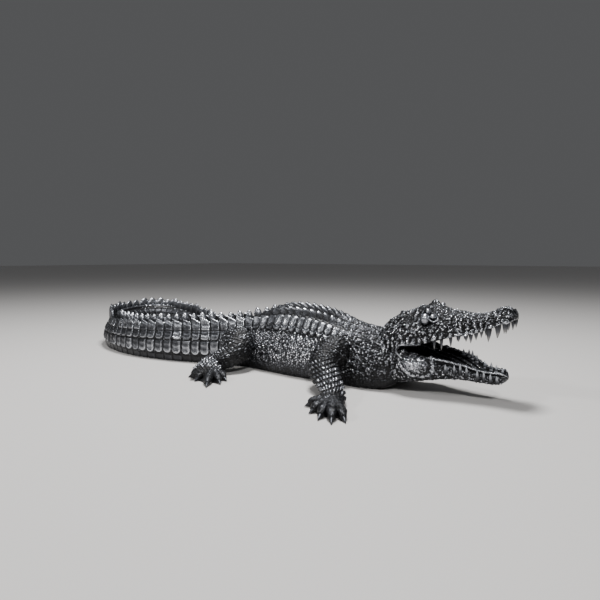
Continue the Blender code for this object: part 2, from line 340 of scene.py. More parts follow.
def outline(points: Sequence[tuple[float, float]], t: Array) -> Array:
    """Smooth curve through a half outline that is mirrored at both its ends.

    Args:
        points: Across and up, from the middle of the underside to the middle of the top.
        t: Where to read it, 0 at the first point and 1 more at each next.

    Returns:
        Across and up for each t.
    """
    row = np.array(points, float)
    first = row[1] * (-1.0, 1.0)
    last = row[-2] * (-1.0, 1.0)
    row = np.vstack([first, row, last])
    index = np.clip(np.floor(t).astype(int), 0, len(points) - 2)
    f = (t - index)[:, None]
    a, b, c, d = (row[index + step] for step in range(4))
    curve = 2.0 * b + (c - a) * f + (2.0 * a - 5.0 * b + 4.0 * c - d) * f ** 2
    return 0.5 * (curve + (3.0 * b - a - 3.0 * c + d) * f ** 3)


def spread(counts: Sequence[int]) -> Array:
    """Read points along a half outline, with a count of its own between each two points.

    Args:
        counts: How many steps there are between one point and the next.

    Returns:
        The places, from 0 to the number of counts.
    """
    parts = [index + np.arange(count) / count for index, count in enumerate(counts)]
    return np.concatenate(parts + [np.array([float(len(counts))])])


@dataclass
class Skin:
    """A closed surface of rings, with what its finish reads at each point.

    The tone is how bright the silver is, the rub how polished, and fine how rugged its grain.
    """

    points: Array
    tone: Array
    rub: Array
    fine: Array | None = None

    @classmethod
    def from_halves(cls, halves: dict[Side, tuple[Array, Array, Array, Array]]) -> "Skin":
        """Join a left and a right half, each read from the underside to the top.

        Args:
            halves: Points, tone, rub and fine of each side.

        Returns:
            The whole skin.
        """
        left, right = halves[Side.LEFT], halves[Side.RIGHT]
        joined = [np.concatenate([a, b[:, -2:0:-1]], axis=1) for a, b in zip(left, right)]
        return cls(*joined)

    def make(self, name: str, cast: CastFrame, material: bpy.types.Material) -> bpy.types.Object:
        """Turn the rings into a closed mesh object, smooth, and facing out.

        Args:
            name: Name of the piece.
            cast: Frame that places it.
            material: Its finish.

        Returns:
            The new object.
        """
        rings, columns = self.points.shape[:2]
        ends = np.stack([self.points[0].mean(axis=0), self.points[-1].mean(axis=0)])
        vertices = np.concatenate([self.points.reshape(-1, 3), ends])
        index = np.arange(rings * columns).reshape(rings, columns)
        after = np.roll(index, -1, axis=1)
        quads = np.stack([index[:-1], after[:-1], after[1:], index[1:]], axis=-1).reshape(-1, 4)
        first, last = rings * columns, rings * columns + 1
        caps = np.concatenate([
            np.stack([after[0], index[0], np.full(columns, first)], axis=-1),
            np.stack([index[-1], after[-1], np.full(columns, last)], axis=-1),
        ])
        if self.volume_sign(vertices, quads, caps) < 0.0:
            quads, caps = quads[:, ::-1], caps[:, ::-1]
        obj = make_mesh(name, cast.metres(vertices), quads, caps, material)
        fine = self.tone * 0.0 + 0.3 if self.fine is None else self.fine
        for label, values in (("tone", self.tone), ("rub", self.rub), ("fine", fine)):
            edges = [values[0].mean(), values[-1].mean()]
            store(obj.data, label, np.concatenate([values.ravel(), edges]))
        return obj

    @staticmethod
    def volume_sign(vertices: Array, quads: Array, caps: Array) -> float:
        """Tell whether the faces point out.

        Args:
            vertices: All points.
            quads: Faces of the rings.
            caps: Faces of the two ends.

        Returns:
            Six times the enclosed volume, positive when the faces point out.
        """
        faces = np.concatenate([quads[:, [0, 1, 2]], quads[:, [0, 2, 3]], caps])
        a, b, c = (vertices[faces[:, corner]] for corner in range(3))
        return float(np.einsum("ij,ij->", a, np.cross(b, c)))


def make_mesh(
    name: str, vertices: Array, quads: Array, triangles: Array, material: bpy.types.Material
) -> bpy.types.Object:
    """Build a smooth mesh object from arrays.

    Args:
        name: Name of the piece.
        vertices: Points in metres.
        quads: Faces of four corners.
        triangles: Faces of three corners.
        material: Its finish.

    Returns:
        The new object, at the origin.
    """
    mesh = bpy.data.meshes.new(name)
    mesh.vertices.add(len(vertices))
    mesh.vertices.foreach_set("co", vertices.astype(np.float32).ravel())
    loops = np.concatenate([quads.ravel(), triangles.ravel()]).astype(np.int32)
    mesh.loops.add(len(loops))
    mesh.loops.foreach_set("vertex_index", loops)
    totals = np.concatenate([np.full(len(quads), 4), np.full(len(triangles), 3)])
    starts = np.concatenate([[0], np.cumsum(totals)[:-1]])
    mesh.polygons.add(len(totals))
    mesh.polygons.foreach_set("loop_start", starts.astype(np.int32))
    mesh.update(calc_edges=True)
    mesh.validate()
    mesh.shade_smooth()
    mesh.materials.append(material)
    obj = bpy.data.objects.new(name, mesh)
    bpy.context.scene.collection.objects.link(obj)
    return obj


def store(mesh: bpy.types.Mesh, label: str, values: Array) -> None:
    """Keep one number for each point of a mesh.

    Args:
        mesh: The mesh.
        label: Name that the finish reads it by.
        values: One number for each point.
    """
    layer = mesh.attributes.new(label, "FLOAT", "POINT")
    layer.data.foreach_set("value", np.clip(values, 0.0, 1.0).astype(np.float32))


def declare(obj: bpy.types.Object) -> None:
    """Make a piece stand for the cast and take its slot.

    Args:
        obj: The piece.
    """
    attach(obj, BODY)
    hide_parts(NODE)
    log.info("%s: %d faces", obj.name, len(obj.data.polygons))


@dataclass(frozen=True)
class Region:
    """How the hide looks on one stretch of the body.

    The section is a half outline from the belly up to the back. Its points are numbered from 0,
    and the bands of plates lie between places on that numbering. Each band has the height of its
    plates, the height of a keel, how round its lower edge is, how bright it is, where its keel
    runs, and how high its plates' rims stand. The crest is a saw of plates along the shoulder.
    """

    section: tuple[tuple[float, float], ...]
    edges: tuple[float, ...]
    plate: tuple[float, ...]
    keel: tuple[float, ...]
    lobe: tuple[float, ...]
    shade: tuple[float, ...]
    ridge: tuple[float, ...]
    rim: tuple[float, ...]
    crest: float


TRUNK = Region(
    section=(
        (0.00, 0.00), (0.84, 0.00), (0.97, 0.13), (1.00, 0.42), (0.78, 0.72), (0.62, 0.84),
        (0.49, 0.88), (0.37, 0.94), (0.25, 0.95), (0.12, 0.99), (0.00, 0.97),
    ),
    edges=(1.10, 2.00, 2.60, 3.66, 5.28, 5.36, 8.05, 9.94, 10.0),
    plate=(0.00, 0.00, 0.00, 0.46, 0.00, 0.06, 0.06, 0.00),
    keel=(0.00, 0.00, 0.00, 0.00, 0.00, 0.80, 0.85, 0.00),
    lobe=(0.00, 0.00, 0.00, 0.30, 0.00, 0.00, 0.00, 0.00),
    shade=(1.0, 1.0, 1.0, 0.78, 0.2, 0.38, 0.38, 0.3),
    ridge=(0.5, 0.5, 0.5, 0.5, 0.5, 0.63, 0.50, 0.5),
    rim=(0.0, 0.0, 0.0, 0.0, 0.0, 0.0, 0.0, 0.0),
    crest=0.0,
)
TAIL = Region(
    section=(
        (0.00, 0.00), (0.78, 0.00), (0.95, 0.14), (1.00, 0.46), (0.87, 0.74), (0.74, 0.86),
        (0.58, 0.83), (0.36, 0.90), (0.22, 0.90), (0.10, 0.90), (0.00, 0.90),
    ),
    edges=(1.10, 2.15, 3.18, 3.95, 5.12, 6.10, 7.95, 9.20, 10.0),
    plate=(0.20, 0.30, 0.26, 0.28, 0.06, 0.06, 0.10, 0.06),
    keel=(0.00, 0.00, 0.00, 0.00, 0.00, 0.00, 0.00, 0.00),
    lobe=(0.10, 0.45, 0.30, 0.05, 0.00, 0.20, 0.00, 0.00),
    # The bands over the crest are kept dark: painted shadow behind the crest.
    shade=(0.26, 0.66, 0.70, 0.78, 0.08, 0.10, 0.12, 0.12),
    ridge=(0.5, 0.5, 0.5, 0.5, 0.5, 0.5, 0.5, 0.5),
    rim=(0.45, 1.0, 0.9, 0.9, 0.0, 0.0, 0.3, 0.3),
    crest=1.45,
)
WHIP = Region(
    section=(
        (0.00, 0.00), (0.74, 0.00), (0.95, 0.14), (0.98, 0.44), (0.72, 0.70), (0.52, 0.82),
        (0.40, 0.85), (0.28, 0.88), (0.20, 0.91), (0.12, 0.95), (0.00, 0.96),
    ),
    edges=(1.10, 2.35, 3.20, 4.05, 5.40, 7.00, 8.40, 9.20, 10.0),
    plate=(0.10, 0.24, 0.22, 0.22, 0.20, 0.06, 0.04, 0.00),
    keel=(0.00, 0.00, 0.00, 0.10, 0.00, 0.00, 0.00, 0.00),
    lobe=(0.10, 0.40, 0.20, 0.10, 0.00, 0.00, 0.00, 0.00),
    # Kept low all round, darkest on top: painted shade on the tail's far coil.
    shade=(0.18, 0.29, 0.34, 0.42, 0.30, 0.06, 0.05, 0.05),
    ridge=(0.5, 0.5, 0.5, 0.5, 0.5, 0.5, 0.5, 0.5),
    rim=(0.2, 0.65, 0.65, 0.4, 0.3, 0.0, 0.0, 0.0),
    crest=0.10,
)


@dataclass(frozen=True)
class CrestRow:
    """A row of upright scutes along the middle of the tail.

    Sizes are those of a scute on the thickest part: its half width along the tail, its half
    thickness and its height. Root is the share of the tail's height that the scutes start at.
    Aside is how far the row stands from the middle, as a share of the tail's half width, and lean
    how far a scute leans back. Taper is how long it stays broad, bend how far it curls, and light
    how bright its tip is.
    """

    name: str
    start: float
    end: float
    size: tuple[float, float, float]
    root: float
    aside: float
    lean: float
    taper: float
    bend: float
    light: float


# Light sets how bright each scute's tip is against its darker root: painted light at the tip and painted
# shade at the root.
CREST_ROWS = (
    CrestRow("tail_blades", 1.5, 58.0, (1.15, 0.42, 3.25), 0.80, 0.25, 0.22, 7.0, 0.30, 0.70),
    CrestRow("tail_knobs", 58.0, 102.0, (0.78, 0.70, 2.70), 0.82, 0.0, 0.12, 4.8, 0.12, 0.78),
)


@dataclass
class Hide:
    """Tail, trunk and neck: one skin along a curved spine, cut in grooves into four pieces."""

    cast: CastFrame
    spine: tuple[tuple[float, ...], ...] = (
        (-22.2, 14.5, 0.35, 0.9, 0.0),
        (-30.9, 17.4, 1.1, 3.3, 0.0),
        (-38.8, 18.9, 1.75, 5.4, 0.0),
        (-46.8, 18.3, 2.2, 6.9, 0.0),
        (-52.8, 15.0, 2.6, 7.9, 0.0),
        (-55.1, 9.6, 2.85, 8.1, 0.0),
        (-54.0, 3.6, 3.0, 7.9, 0.0),
        (-50.0, -1.4, 3.15, 7.6, 0.0),
        (-44.0, -4.9, 3.3, 7.4, 0.0),
        (-37.0, -6.7, 3.4, 7.4, 0.0),
        (-29.6, -7.0, 3.6, 7.8, 0.0),
        (-22.2, -5.7, 3.8, 8.3, 0.0),
        (-15.4, -3.4, 4.1, 8.7, 0.0),
        (-9.3, -1.2, 4.5, 9.4, 0.0),
        (-3.1, 0.0, 5.1, 10.7, 0.0),
        (3.1, 0.0, 5.6, 11.9, 0.0),
        (8.0, 0.0, 5.9, 11.8, 0.0),
        (12.3, 0.0, 5.8, 11.1, 0.0),
        (16.7, 0.0, 5.7, 9.9, 0.0),
        (20.6, 0.0, 5.6, 9.2, 0.0),
        (23.6, 0.0, 5.1, 9.5, 0.3),
        (25.6, 0.0, 4.0, 9.6, 1.2),
        (26.6, 0.0, 2.4, 8.2, 3.0),
    )
    whip_to_tail: tuple[float, float] = (48.0, 70.0)
    tail_to_trunk: tuple[float, float] = (92.0, 106.0)
    scutes_fade: tuple[float, float] = (114.0, 122.0)
    rows_fade: tuple[float, float] = (86.0, 96.0)
    whorl_at_tip: float = 1.7
    whorl_on_tail: float = 2.05
    whorls_grow: float = 85.0
    whorls_shrink: tuple[float, float] = (97.0, 117.0)
    whorl_on_trunk: float = 1.33
    first_whorl: float = 0.4
    blades_cross: tuple[float, float] = (22.0, 42.0)
    blades_swing: float = 3.2
    scute_place: float = 0.4
    full_scute_from: float = 2.2
    full_relief_from: float = 2.4
    cuts: tuple[float, float, float] = (54.0, 97.0, 123.0)
    names: tuple[str, ...] = ("tail_end", "tail", "trunk", "neck")
    whorl_rings: tuple[int, ...] = (10, 19, 15, 14)
    section_steps: tuple[tuple[int, ...], ...] = (
        (4, 9, 13, 12, 12, 8, 6, 4, 3, 4),
        (5, 11, 17, 14, 16, 8, 6, 5, 4, 4),
        (5, 12, 31, 38, 15, 8, 9, 8, 8, 7),
        (5, 12, 31, 38, 15, 8, 9, 8, 8, 7),
    )
    lean: float = 0.42
    bead: float = 0.43
    bead_height: float = 0.24
    track: Track = field(init=False)
    whorls: Array = field(init=False)

    def __post_init__(self) -> None:
        """Measure the spine and lay out the whorls of scales along it."""
        self.track = Track(self.spine, 2)
        marks = [self.first_whorl]
        while marks[-1] < self.track.length - self.whorl_on_trunk:
            marks.append(marks[-1] + self.whorl_length(marks[-1]))
        self.whorls = np.array(marks)

    def whorl_length(self, place: float) -> float:
        """Length of one whorl of scales at one place along the spine.

        Args:
            place: Length along the spine.

        Returns:
            The whorl's length.
        """
        tail = smooth(np.array(place), 0.0, self.whorls_grow)
        trunk = smooth(np.array(place), *self.whorls_shrink)
        on_tail = self.whorl_at_tip + (self.whorl_on_tail - self.whorl_at_tip) * tail
        return float(on_tail + (self.whorl_on_trunk - on_tail) * trunk)

    def blend(self, place: Array, values: Sequence[Array]) -> Array:
        """Mix what the whip, the tail and the trunk have, by the place along the spine.

        Args:
            place: Lengths along the spine, as a column.
            values: What the whip, the tail and the trunk have.

        Returns:
            The mix.
        """
        whip, tail, trunk = values
        share = smooth(place, *self.whip_to_tail)
        on_tail = whip + (tail - whip) * share
        return on_tail + (trunk - on_tail) * smooth(place, *self.tail_to_trunk)

    def plates(
        self, place: Array, number: Array, u: Array, t: Array, seed: float
    ) -> dict[str, Array]:
        """The rows of plates and keels.

        Args:
            place: Lengths along the spine, as a column.
            number: Which whorl each ring is in, as a column.
            u: Share of that whorl, 0 at its end towards the tail's tip, as a column.
            t: Place on the section's numbering, as a row.
            seed: Tells the two sides apart.

        Returns:
            The heights out and up, the shade, the rub, how much of the skin is plated and how much
            of that catches the light.
        """
        regions = (WHIP, TAIL, TRUNK)
        shape = np.broadcast_shapes(place.shape, t.shape)
        total = {key: np.zeros(shape) for key in ("out", "up", "shade", "rub", "plated", "lit")}
        trunk = smooth(place, *self.tail_to_trunk)
        lower_rows = 1.0 - smooth(place, *self.rows_fade)
        across_whorl = smooth(u, 0.0, 0.12) * smooth(1.0 - u, 0.0, 0.08)
        saw = smooth(u, 0.0, 0.14) * np.maximum(1.0 - u, 0.0) ** 0.8
        rounding = np.abs(2.0 * u - 1.0) ** 3
        for band in range(len(TAIL.plate)):
            def mixed(label: str, index: int = band) -> Array:
                """One of the band's numbers at each ring."""
                return self.blend(place, [getattr(region, label)[index] for region in regions])

            low, high = mixed("edges") + mixed("lobe") * rounding, mixed("edges", band + 1)
            q = (t - low) / np.maximum(high - low, 0.02)
            inside = (q > 0.0) & (q < 1.0)
            plate = mixed("plate") * (lower_rows if band < 3 else 1.0)
            keel = mixed("keel")
            luck = chance(number, np.full_like(number, band), seed)
            foot, head = smooth(q, 0.0, 0.10), smooth(1.0 - q, 0.0, 0.10)
            foot = foot + (1.0 - foot) * (1.0 - trunk) * (0.5 if band == 3 else 0.0)
            head = head + (1.0 - head) * (1.0 - trunk) * {2: 0.5, 3: 1.0}.get(band, 0.0)
            edge = foot * head * across_whorl
            lower_rim = (0.0 if band == 3 else 0.8) * bell(q - 0.14, 0.07)
            rim = mixed("rim") * (bell(u - 0.86, 0.05) + lower_rim)
            bars = mixed("rim") * 0.16 * np.sin((2.4 * q + luck) * TURN) * bell(u - 0.42, 0.38)
            shingle = 0.45 + 0.30 * u + 0.35 * (1.0 - q) + 0.40 * rim + bars
            barrel = 1.15 - 0.50 * (2.0 * u - 1.0) ** 2 - 0.70 * bell(q - 0.17, 0.045)
            barrel = barrel - 0.30 * bell(q - 0.86, 0.05)
            body = shingle + (barrel - shingle) * trunk
            height = plate * edge * np.maximum(body, 0.0) * (0.80 + 0.4 * luck)
            where = mixed("ridge")
            roof = np.clip(np.where(q < where, q / where, (1.0 - q) / (1.0 - where)), 0.0, 1.0)
            height = height + keel * saw * roof
            tip = smooth(roof, 0.66, 1.0) * smooth(saw, 0.52, 0.82)
            tip = tip * np.minimum(keel * 2.0, 1.0)
            # Painted highlight: a bright streak down the middle of each trunk plate.
            highlight_streak = 1.5 * trunk * bell(u - 0.42, 0.14)
            shine = edge * plate * (1.3 * rim * (1.0 - trunk) + highlight_streak + 0.5 * luck - 0.2)
            plated = np.minimum(plate / 0.06, 1.0)
            relit = edge * (0.62 + 0.38 * (1.0 - trunk) * (1.0 - q) + 0.3 * bars) * plated
            shade = mixed("shade") * plated * (0.72 + 0.35 * luck)
            for key, value in (
                ("out", height), ("rub", 1.1 * tip + shine), ("plated", plated), ("lit", relit),
                ("shade", shade),
            ):
                total[key] += np.where(inside, value, 0.0)
        luck = chance(number, np.zeros_like(number), seed + 2.0)
        rise = smooth(t, 4.0, 4.95) * (1.0 - smooth(t, 5.03, 5.35))
        crest = self.blend(place, [region.crest for region in regions]) * rise
        total["up"] += crest * (0.8 + 0.4 * luck) * saw
        total["rub"] += crest * bell(t - 4.98, 0.10) * (0.25 + 0.75 * u) * across_whorl * 0.7
        return total

    def relief(
        self, place: Array, number: Array, u: Array, t: Array, arc: Array, seed: float
    ) -> dict[str, Array]:
        """How far the hide stands out, and how bright it is.

        Args:
            place: Lengths along the spine, as a column.
            number: Which whorl each ring is in, as a column.
            u: Share of that whorl, 0 at its end towards the tail's tip, as a column.
            t: Place on the section's numbering, as a row.
            arc: Length round the section from the foot of the plates.
            seed: Tells the two sides apart.

        Returns:
            The heights out and up, the tone, the rub and how rugged the grain is.
        """
        scutes = 1.0 - smooth(place, *self.scutes_fade)
        size = np.minimum(1.0, self.track.at(place[:, 0])[:, 2:3] / self.full_relief_from)
        rows = self.plates(place, number, u, t, seed)
        low_belly = smooth(t, 1.3, 3.0)
        bent_place = place + 0.22 * (mottle(place, arc, 1.4, seed) - 0.5)
        bent_arc = arc + 0.22 * (mottle(place, arc, 1.4, seed + 8.0) - 0.5)
        beads = Beads(self.bead, self.bead * 1.05, jitter=0.7, groove=0.36, peak=0.75, seed=seed)
        height, pick = beads.relief(bent_place, bent_arc)
        rugged = crumple(place, arc, 0.36, seed + 4.0)
        neck = 1.0 - scutes
        plain = self.bead_height * (0.55 + 0.45 * low_belly) * height * (0.5 + pick)
        plain = plain * (1.0 - 0.35 * neck)
        plain = plain + (0.02 + 0.20 * neck * (0.25 + 0.75 * low_belly)) * rugged
        plated = np.clip(rows["plated"], 0.0, 1.0) * scutes
        out = (rows["out"] * scutes + plain * (1.0 - plated)) * size
        out = out + 0.04 * mottle(place, arc, 0.22, seed + 6.0) * plated
        up = rows["up"] * scutes * size
        # Painted shade: the hide grows darker down towards the belly.
        shade = (0.19 + 0.84 * low_belly) * (0.64 + 0.48 * pick) * (1.0 - 0.28 * neck)
        shade = rows["shade"] * scutes + shade * (1.0 - plated)
        raised = standout(out + up, 0.10, -0.015 + 0.05 * neck)
        raised = raised * (1.0 - 0.6 * plated) + 0.6 * plated * rows["lit"]
        fine = 0.60 * neck * (0.3 + 0.7 * low_belly) + 0.10 * (1.0 - plated) * (1.0 - neck)
        return {
            "out": out, "up": up, "tone": shade * raised, "rub": rows["rub"] * scutes,
            "fine": fine + 0.10 * plated,
        }

    def half(
        self, place: Array, number: Array, u: Array, t: Array, side: Side
    ) -> tuple[Array, ...]:
        """One side of the hide between two cuts.

        Args:
            place: Lengths along the spine, as a column.
            number: Which whorl each ring is in, as a column.
            u: Share of that whorl, as a column.
            t: Places on the section's numbering.
            side: Which side.

        Returns:
            Points, tone, rub and fine.
        """
        curves = [outline(region.section, t) for region in (WHIP, TAIL, TRUNK)]
        across, up = (self.blend(place, [curve[:, axis] for curve in curves]) for axis in (0, 1))
        x, y, half_width, height, belly = (column[:, None] for column in self.track.at(place[:, 0]).T)
        reach, rise = across * half_width, belly + up * (height - belly)
        step_reach, step_rise = np.gradient(reach, axis=1), np.gradient(rise, axis=1)
        length = np.hypot(step_reach, step_rise) + 1e-9
        arc = np.cumsum(length, axis=1)
        arc = arc - arc[:, [int(np.argmin(np.abs(t - 4.0)))]]
        seed = 1.0 if side is Side.RIGHT else 20.0
        relief = self.relief(place, number, u, t[None, :], arc, seed)
        reach = np.maximum(reach + relief["out"] * step_rise / length, 0.0)
        rise = rise - relief["out"] * step_reach / length + relief["up"]
        reach[:, [0, -1]] = 0.0
        keels = smooth(t, 6.2, 7.2)[None, :]
        back = relief["up"] * self.lean + relief["out"] * self.lean * 0.5 * keels
        ahead = self.heading(place[:, 0])
        ahead_x, ahead_y = ahead[:, :1], ahead[:, 1:]
        points = np.stack([
            x - ahead_y * reach * side.value - ahead_x * back,
            y + ahead_x * reach * side.value - ahead_y * back,
            np.maximum(rise, 0.0),
        ], axis=-1)
        return points, relief["tone"], relief["rub"], relief["fine"]

    def piece(self, start: float, end: float, rings: int, counts: Sequence[int]) -> Skin:
        """The skin between two places along the spine.

        Args:
            start: Where it starts, moved to the next groove.
            end: Where it ends, moved to the next groove.
            rings: How many rings there are in a whorl.
            counts: How many points there are between two points of the section.

        Returns:
            The skin.
        """
        first, last = np.searchsorted(self.whorls, (start, min(end, self.whorls[-1])))
        number = np.repeat(np.arange(first, last), rings).astype(float)
        u = np.tile(np.arange(rings) / rings, last - first)
        lengths = np.diff(self.whorls)[first:last]
        place = self.whorls[number.astype(int)] + u * np.repeat(lengths, rings)
        place = np.append(place, self.whorls[last])[:, None]
        number = np.append(number, last)[:, None]
        u = np.append(u, 0.0)[:, None]
        t = spread(counts)
        return Skin.from_halves({side: self.half(place, number, u, t, side) for side in Side})

    def build(self, material: bpy.types.Material) -> None:
        """Make the four pieces of the hide.

        Args:
            material: Its finish.
        """
        places = (0.0, *self.cuts, self.track.length)
        stretches = zip(places, places[1:], self.whorl_rings, self.section_steps)
        for name, stretch in zip(self.names, stretches):
            declare(self.piece(*stretch).make(name, self.cast, material))

    def heading(self, place: Array) -> Array:
        """Direction of the spine in plan.

        Args:
            place: Lengths along the spine.

        Returns:
            A unit direction for each.
        """
        ahead = self.track.at(place + HEADING_STEP) - self.track.at(place - HEADING_STEP)
        ahead = ahead[..., :2]
        return ahead / np.linalg.norm(ahead, axis=-1, keepdims=True)

    def scutes(self, row: CrestRow) -> tuple[list[Stand], Array]:
        """Where the upright scutes of one row stand.

        Args:
            row: The row.

        Returns:
            Root, tip and size of each, and the way each leans.
        """
        found, ways = [], []
        inside = (self.whorls >= row.start) & (self.whorls < row.end)
        for number, place in enumerate(self.whorls[inside]):
            middle = np.array(place + self.scute_place * self.whorl_length(place))
            x, y, half_width, height, _ = self.track.at(middle)
            ahead = np.append(self.heading(middle), 0.0)
            swing = 1.0 - self.blades_swing * smooth(middle, *self.blades_cross)
            aside = np.array([-ahead[1], ahead[0], 0.0]) * (row.aside * swing * half_width)
            luck = float(chance(np.array(number * 1.0), np.array(3.0), row.start))
            size = min(1.0, half_width / self.full_scute_from) * (0.9 + 0.2 * luck)
            root = np.array([x, y, row.root * height]) + aside
            tip = root + np.array([0.0, 0.0, 1.0]) - ahead * row.lean * (0.7 + 0.6 * luck)
            found.append((root, tip, size * np.array(row.size)))
            ways.append(-ahead)
        return found, np.array(ways)

    def crest(self, row: CrestRow, shared: ConeTree, material: bpy.types.Material) -> None:
        """Make the upright scutes of one row.

        Args:
            row: The row.
            shared: The node tree that sets them.
            material: Their finish.
        """
        stands, ways = self.scutes(row)
        cones = Cones(
            self.cast, shared, row.name, sides=14, rings=9, bend=row.bend, taper=row.taper,
            dark_root=ROOT_SHARE * row.light, light_tip=row.light,
        )
        cones.build(stands, ways, material)


@dataclass(frozen=True)
class Lump:
    """A smooth swelling of a skin, on both sides of the head.

    Lift is the share of its height that goes up and not outward. Shine makes it brighter, or darker
    below 0, and calm smooths the small relief on it.
    """

    place: tuple[float, float, float]
    spread: tuple[float, float, float]
    height: float
    lift: float = 1.0
    shine: float = 0.0
    calm: float = 0.0

    def rise(self, points: Array, side: Side) -> Array:
        """How much the skin swells at each point.

        Args:
            points: Points of the skin.
            side: Which side of the head they are on.

        Returns:
            A share from 0 to 1.
        """
        centre = np.array(self.place) * (1.0, side.value, 1.0)
        away = (points - centre) / np.array(self.spread)
        return np.exp(-np.sum(away ** 2, axis=-1))


@dataclass(frozen=True)
class Crease:
    """A ridge or a groove that follows a line over the head."""

    line: tuple[tuple[float, float, float], ...]
    width: float
    height: float
    shine: float = 0.0

    def near(self, points: Array, side: Side) -> Array:
        """How near each point is to the line.

        Args:
            points: Points of the skin.
            side: Which side of the head they are on.

        Returns:
            A share from 0 to 1, which is 1 on the line.
        """
        line = np.array(self.line) * (1.0, side.value, 1.0)
        best = np.full(points.shape[:-1], 1e9)
        for start, end in zip(line, line[1:]):
            along = end - start
            share = np.clip(((points - start) @ along) / (along @ along), 0.0, 1.0)
            away = points - start - share[..., None] * along
            best = np.minimum(best, np.sum(away ** 2, axis=-1))
        return np.exp(-best / self.width ** 2)


@dataclass
class HeadPart:
    """A skin of upright rings along x, with swellings, creases and rugged scales.

    Each row gives a place along x, the half width there, and the lowest and highest height. Tilt
    is how far the left side is lifted, and where along x the lift fades.
    """

    cast: CastFrame
    name: str
    rows: tuple[tuple[float, ...], ...]
    section: tuple[tuple[float, float], ...]
    counts: tuple[int, ...]
    rings: int
    lumps: tuple[Lump, ...]
    creases: tuple[Crease, ...]
    tilt: tuple[float, float, float]
    snout_end: float = 1.0
    track: Track = field(init=False)

    def __post_init__(self) -> None:
        """Measure the rows."""
        self.track = Track(self.rows, 1)

    def frame_at(self, x: Array) -> tuple[Array, Array, Array]:
        """Half width, lowest and highest height, with the end closed in a round.

        Args:
            x: Places along the head.

        Returns:
            The three sizes, each as a column.
        """
        _, width, low, high = self.track.at(x - self.rows[0][0]).T
        share = np.clip((x - (self.rows[-1][0] - self.snout_end)) / self.snout_end, 0.0, 1.0)
        shrink = np.sqrt(1.0 - share ** 2.6)
        middle = (low + high) / 2.0
        low, high = middle + (low - middle) * shrink, middle + (high - middle) * shrink
        return (width * shrink)[:, None], low[:, None], high[:, None]

    def tilted(self, points: Array) -> Array:
        """Lift the left side a little, because the head is held aslant.

        Args:
            points: Points of the head, with x, y, z last.

        Returns:
            The lifted points.
        """
        height, start, end = self.tilt
        x, y = points[..., 0], points[..., 1]
        lift = height * smooth(y, -2.2, 2.4) * smooth(x, 25.0, 29.0) * (1.0 - smooth(x, start, end))
        lifted = np.array(points, float)
        lifted[..., 2] += lift
        return lifted

    def places(self) -> Array:
        """Where the rings stand, closer together at the round end.

        Returns:
            Places along the head.
        """
        first, last = self.rows[0][0], self.rows[-1][0]
        straight = np.linspace(first, last - self.snout_end, self.rings)
        turn = np.linspace(0.0, math.pi / 2.0, 14)[1:]
        return np.concatenate([straight, last - self.snout_end * (1.0 - np.sin(turn))])

    def rough(
        self, points: Array, t: Array, arc: Array, seed: float
    ) -> tuple[Array, Array, Array]:
        """Height and brightness of the small relief.

        Args:
            points: Points of the skin.
            t: Places on the section's numbering, as a row.
            arc: Length round the section.
            seed: Tells the two sides apart.

        Returns:
            Height, shade and rub.
        """
        raise NotImplementedError

    def half(self, side: Side) -> tuple[Array, ...]:
        """One side of the part.

        Args:
            side: Which side.

        Returns:
            Points, tone, rub and fine.
        """
        x = self.places()
        t = spread(self.counts)
        curve = outline(self.section, t)
        width, low, high = self.frame_at(x)
        reach = curve[:, 0][None, :] * width
        rise = low + curve[:, 1][None, :] * (high - low)
        step_reach, step_rise = np.gradient(reach, axis=1), np.gradient(rise, axis=1)
        length = np.hypot(step_reach, step_rise) + 1e-9
        arc = np.cumsum(length, axis=1)
        arc = arc - arc[:, [len(t) // 2]]
        along = np.broadcast_to(x[:, None], reach.shape)
        points = np.stack([along, reach * side.value, rise], axis=-1)
        out, up, rub = (np.zeros(reach.shape) for _ in range(3))
        smoothing = np.ones(reach.shape)
        for lump in self.lumps:
            share = lump.rise(points, side)
            out += share * lump.height * (1.0 - lump.lift)
            up += share * lump.height * lump.lift
            rub += share ** 2 * lump.shine
            smoothing *= 1.0 - share * lump.calm
        for crease in self.creases:
            share = crease.near(points, side)
            out += share * crease.height
            rub += share * crease.shine
            smoothing *= 1.0 - 0.6 * share
        seed = 3.0 if side is Side.RIGHT else 31.0
        height, shade, shine = self.rough(points, t[None, :], arc, seed)
        shrink = width / self.track.at(x - self.rows[0][0])[:, 1:2]
        out = (out + height * smoothing) * shrink
        tone = (shade + np.minimum(rub, 0.0)) * standout(out + 0.5 * up, 0.09, 0.03)
        rub = np.maximum(rub, 0.0) + shine
        reach = np.maximum(reach + out * step_rise / length, 0.0)
        rise = rise - out * step_reach / length + up * shrink
        reach[:, [0, -1]] = 0.0
        points = np.stack([along, reach * side.value, rise], axis=-1)
        return self.tilted(points), tone, rub, np.clip(smoothing, 0.2, 1.0)

    def build(self, material: bpy.types.Material) -> None:
        """Make the piece.

        Args:
            material: Its finish.
        """
        skin = Skin.from_halves({side: self.half(side) for side in Side})
        declare(skin.make(self.name, self.cast, material))


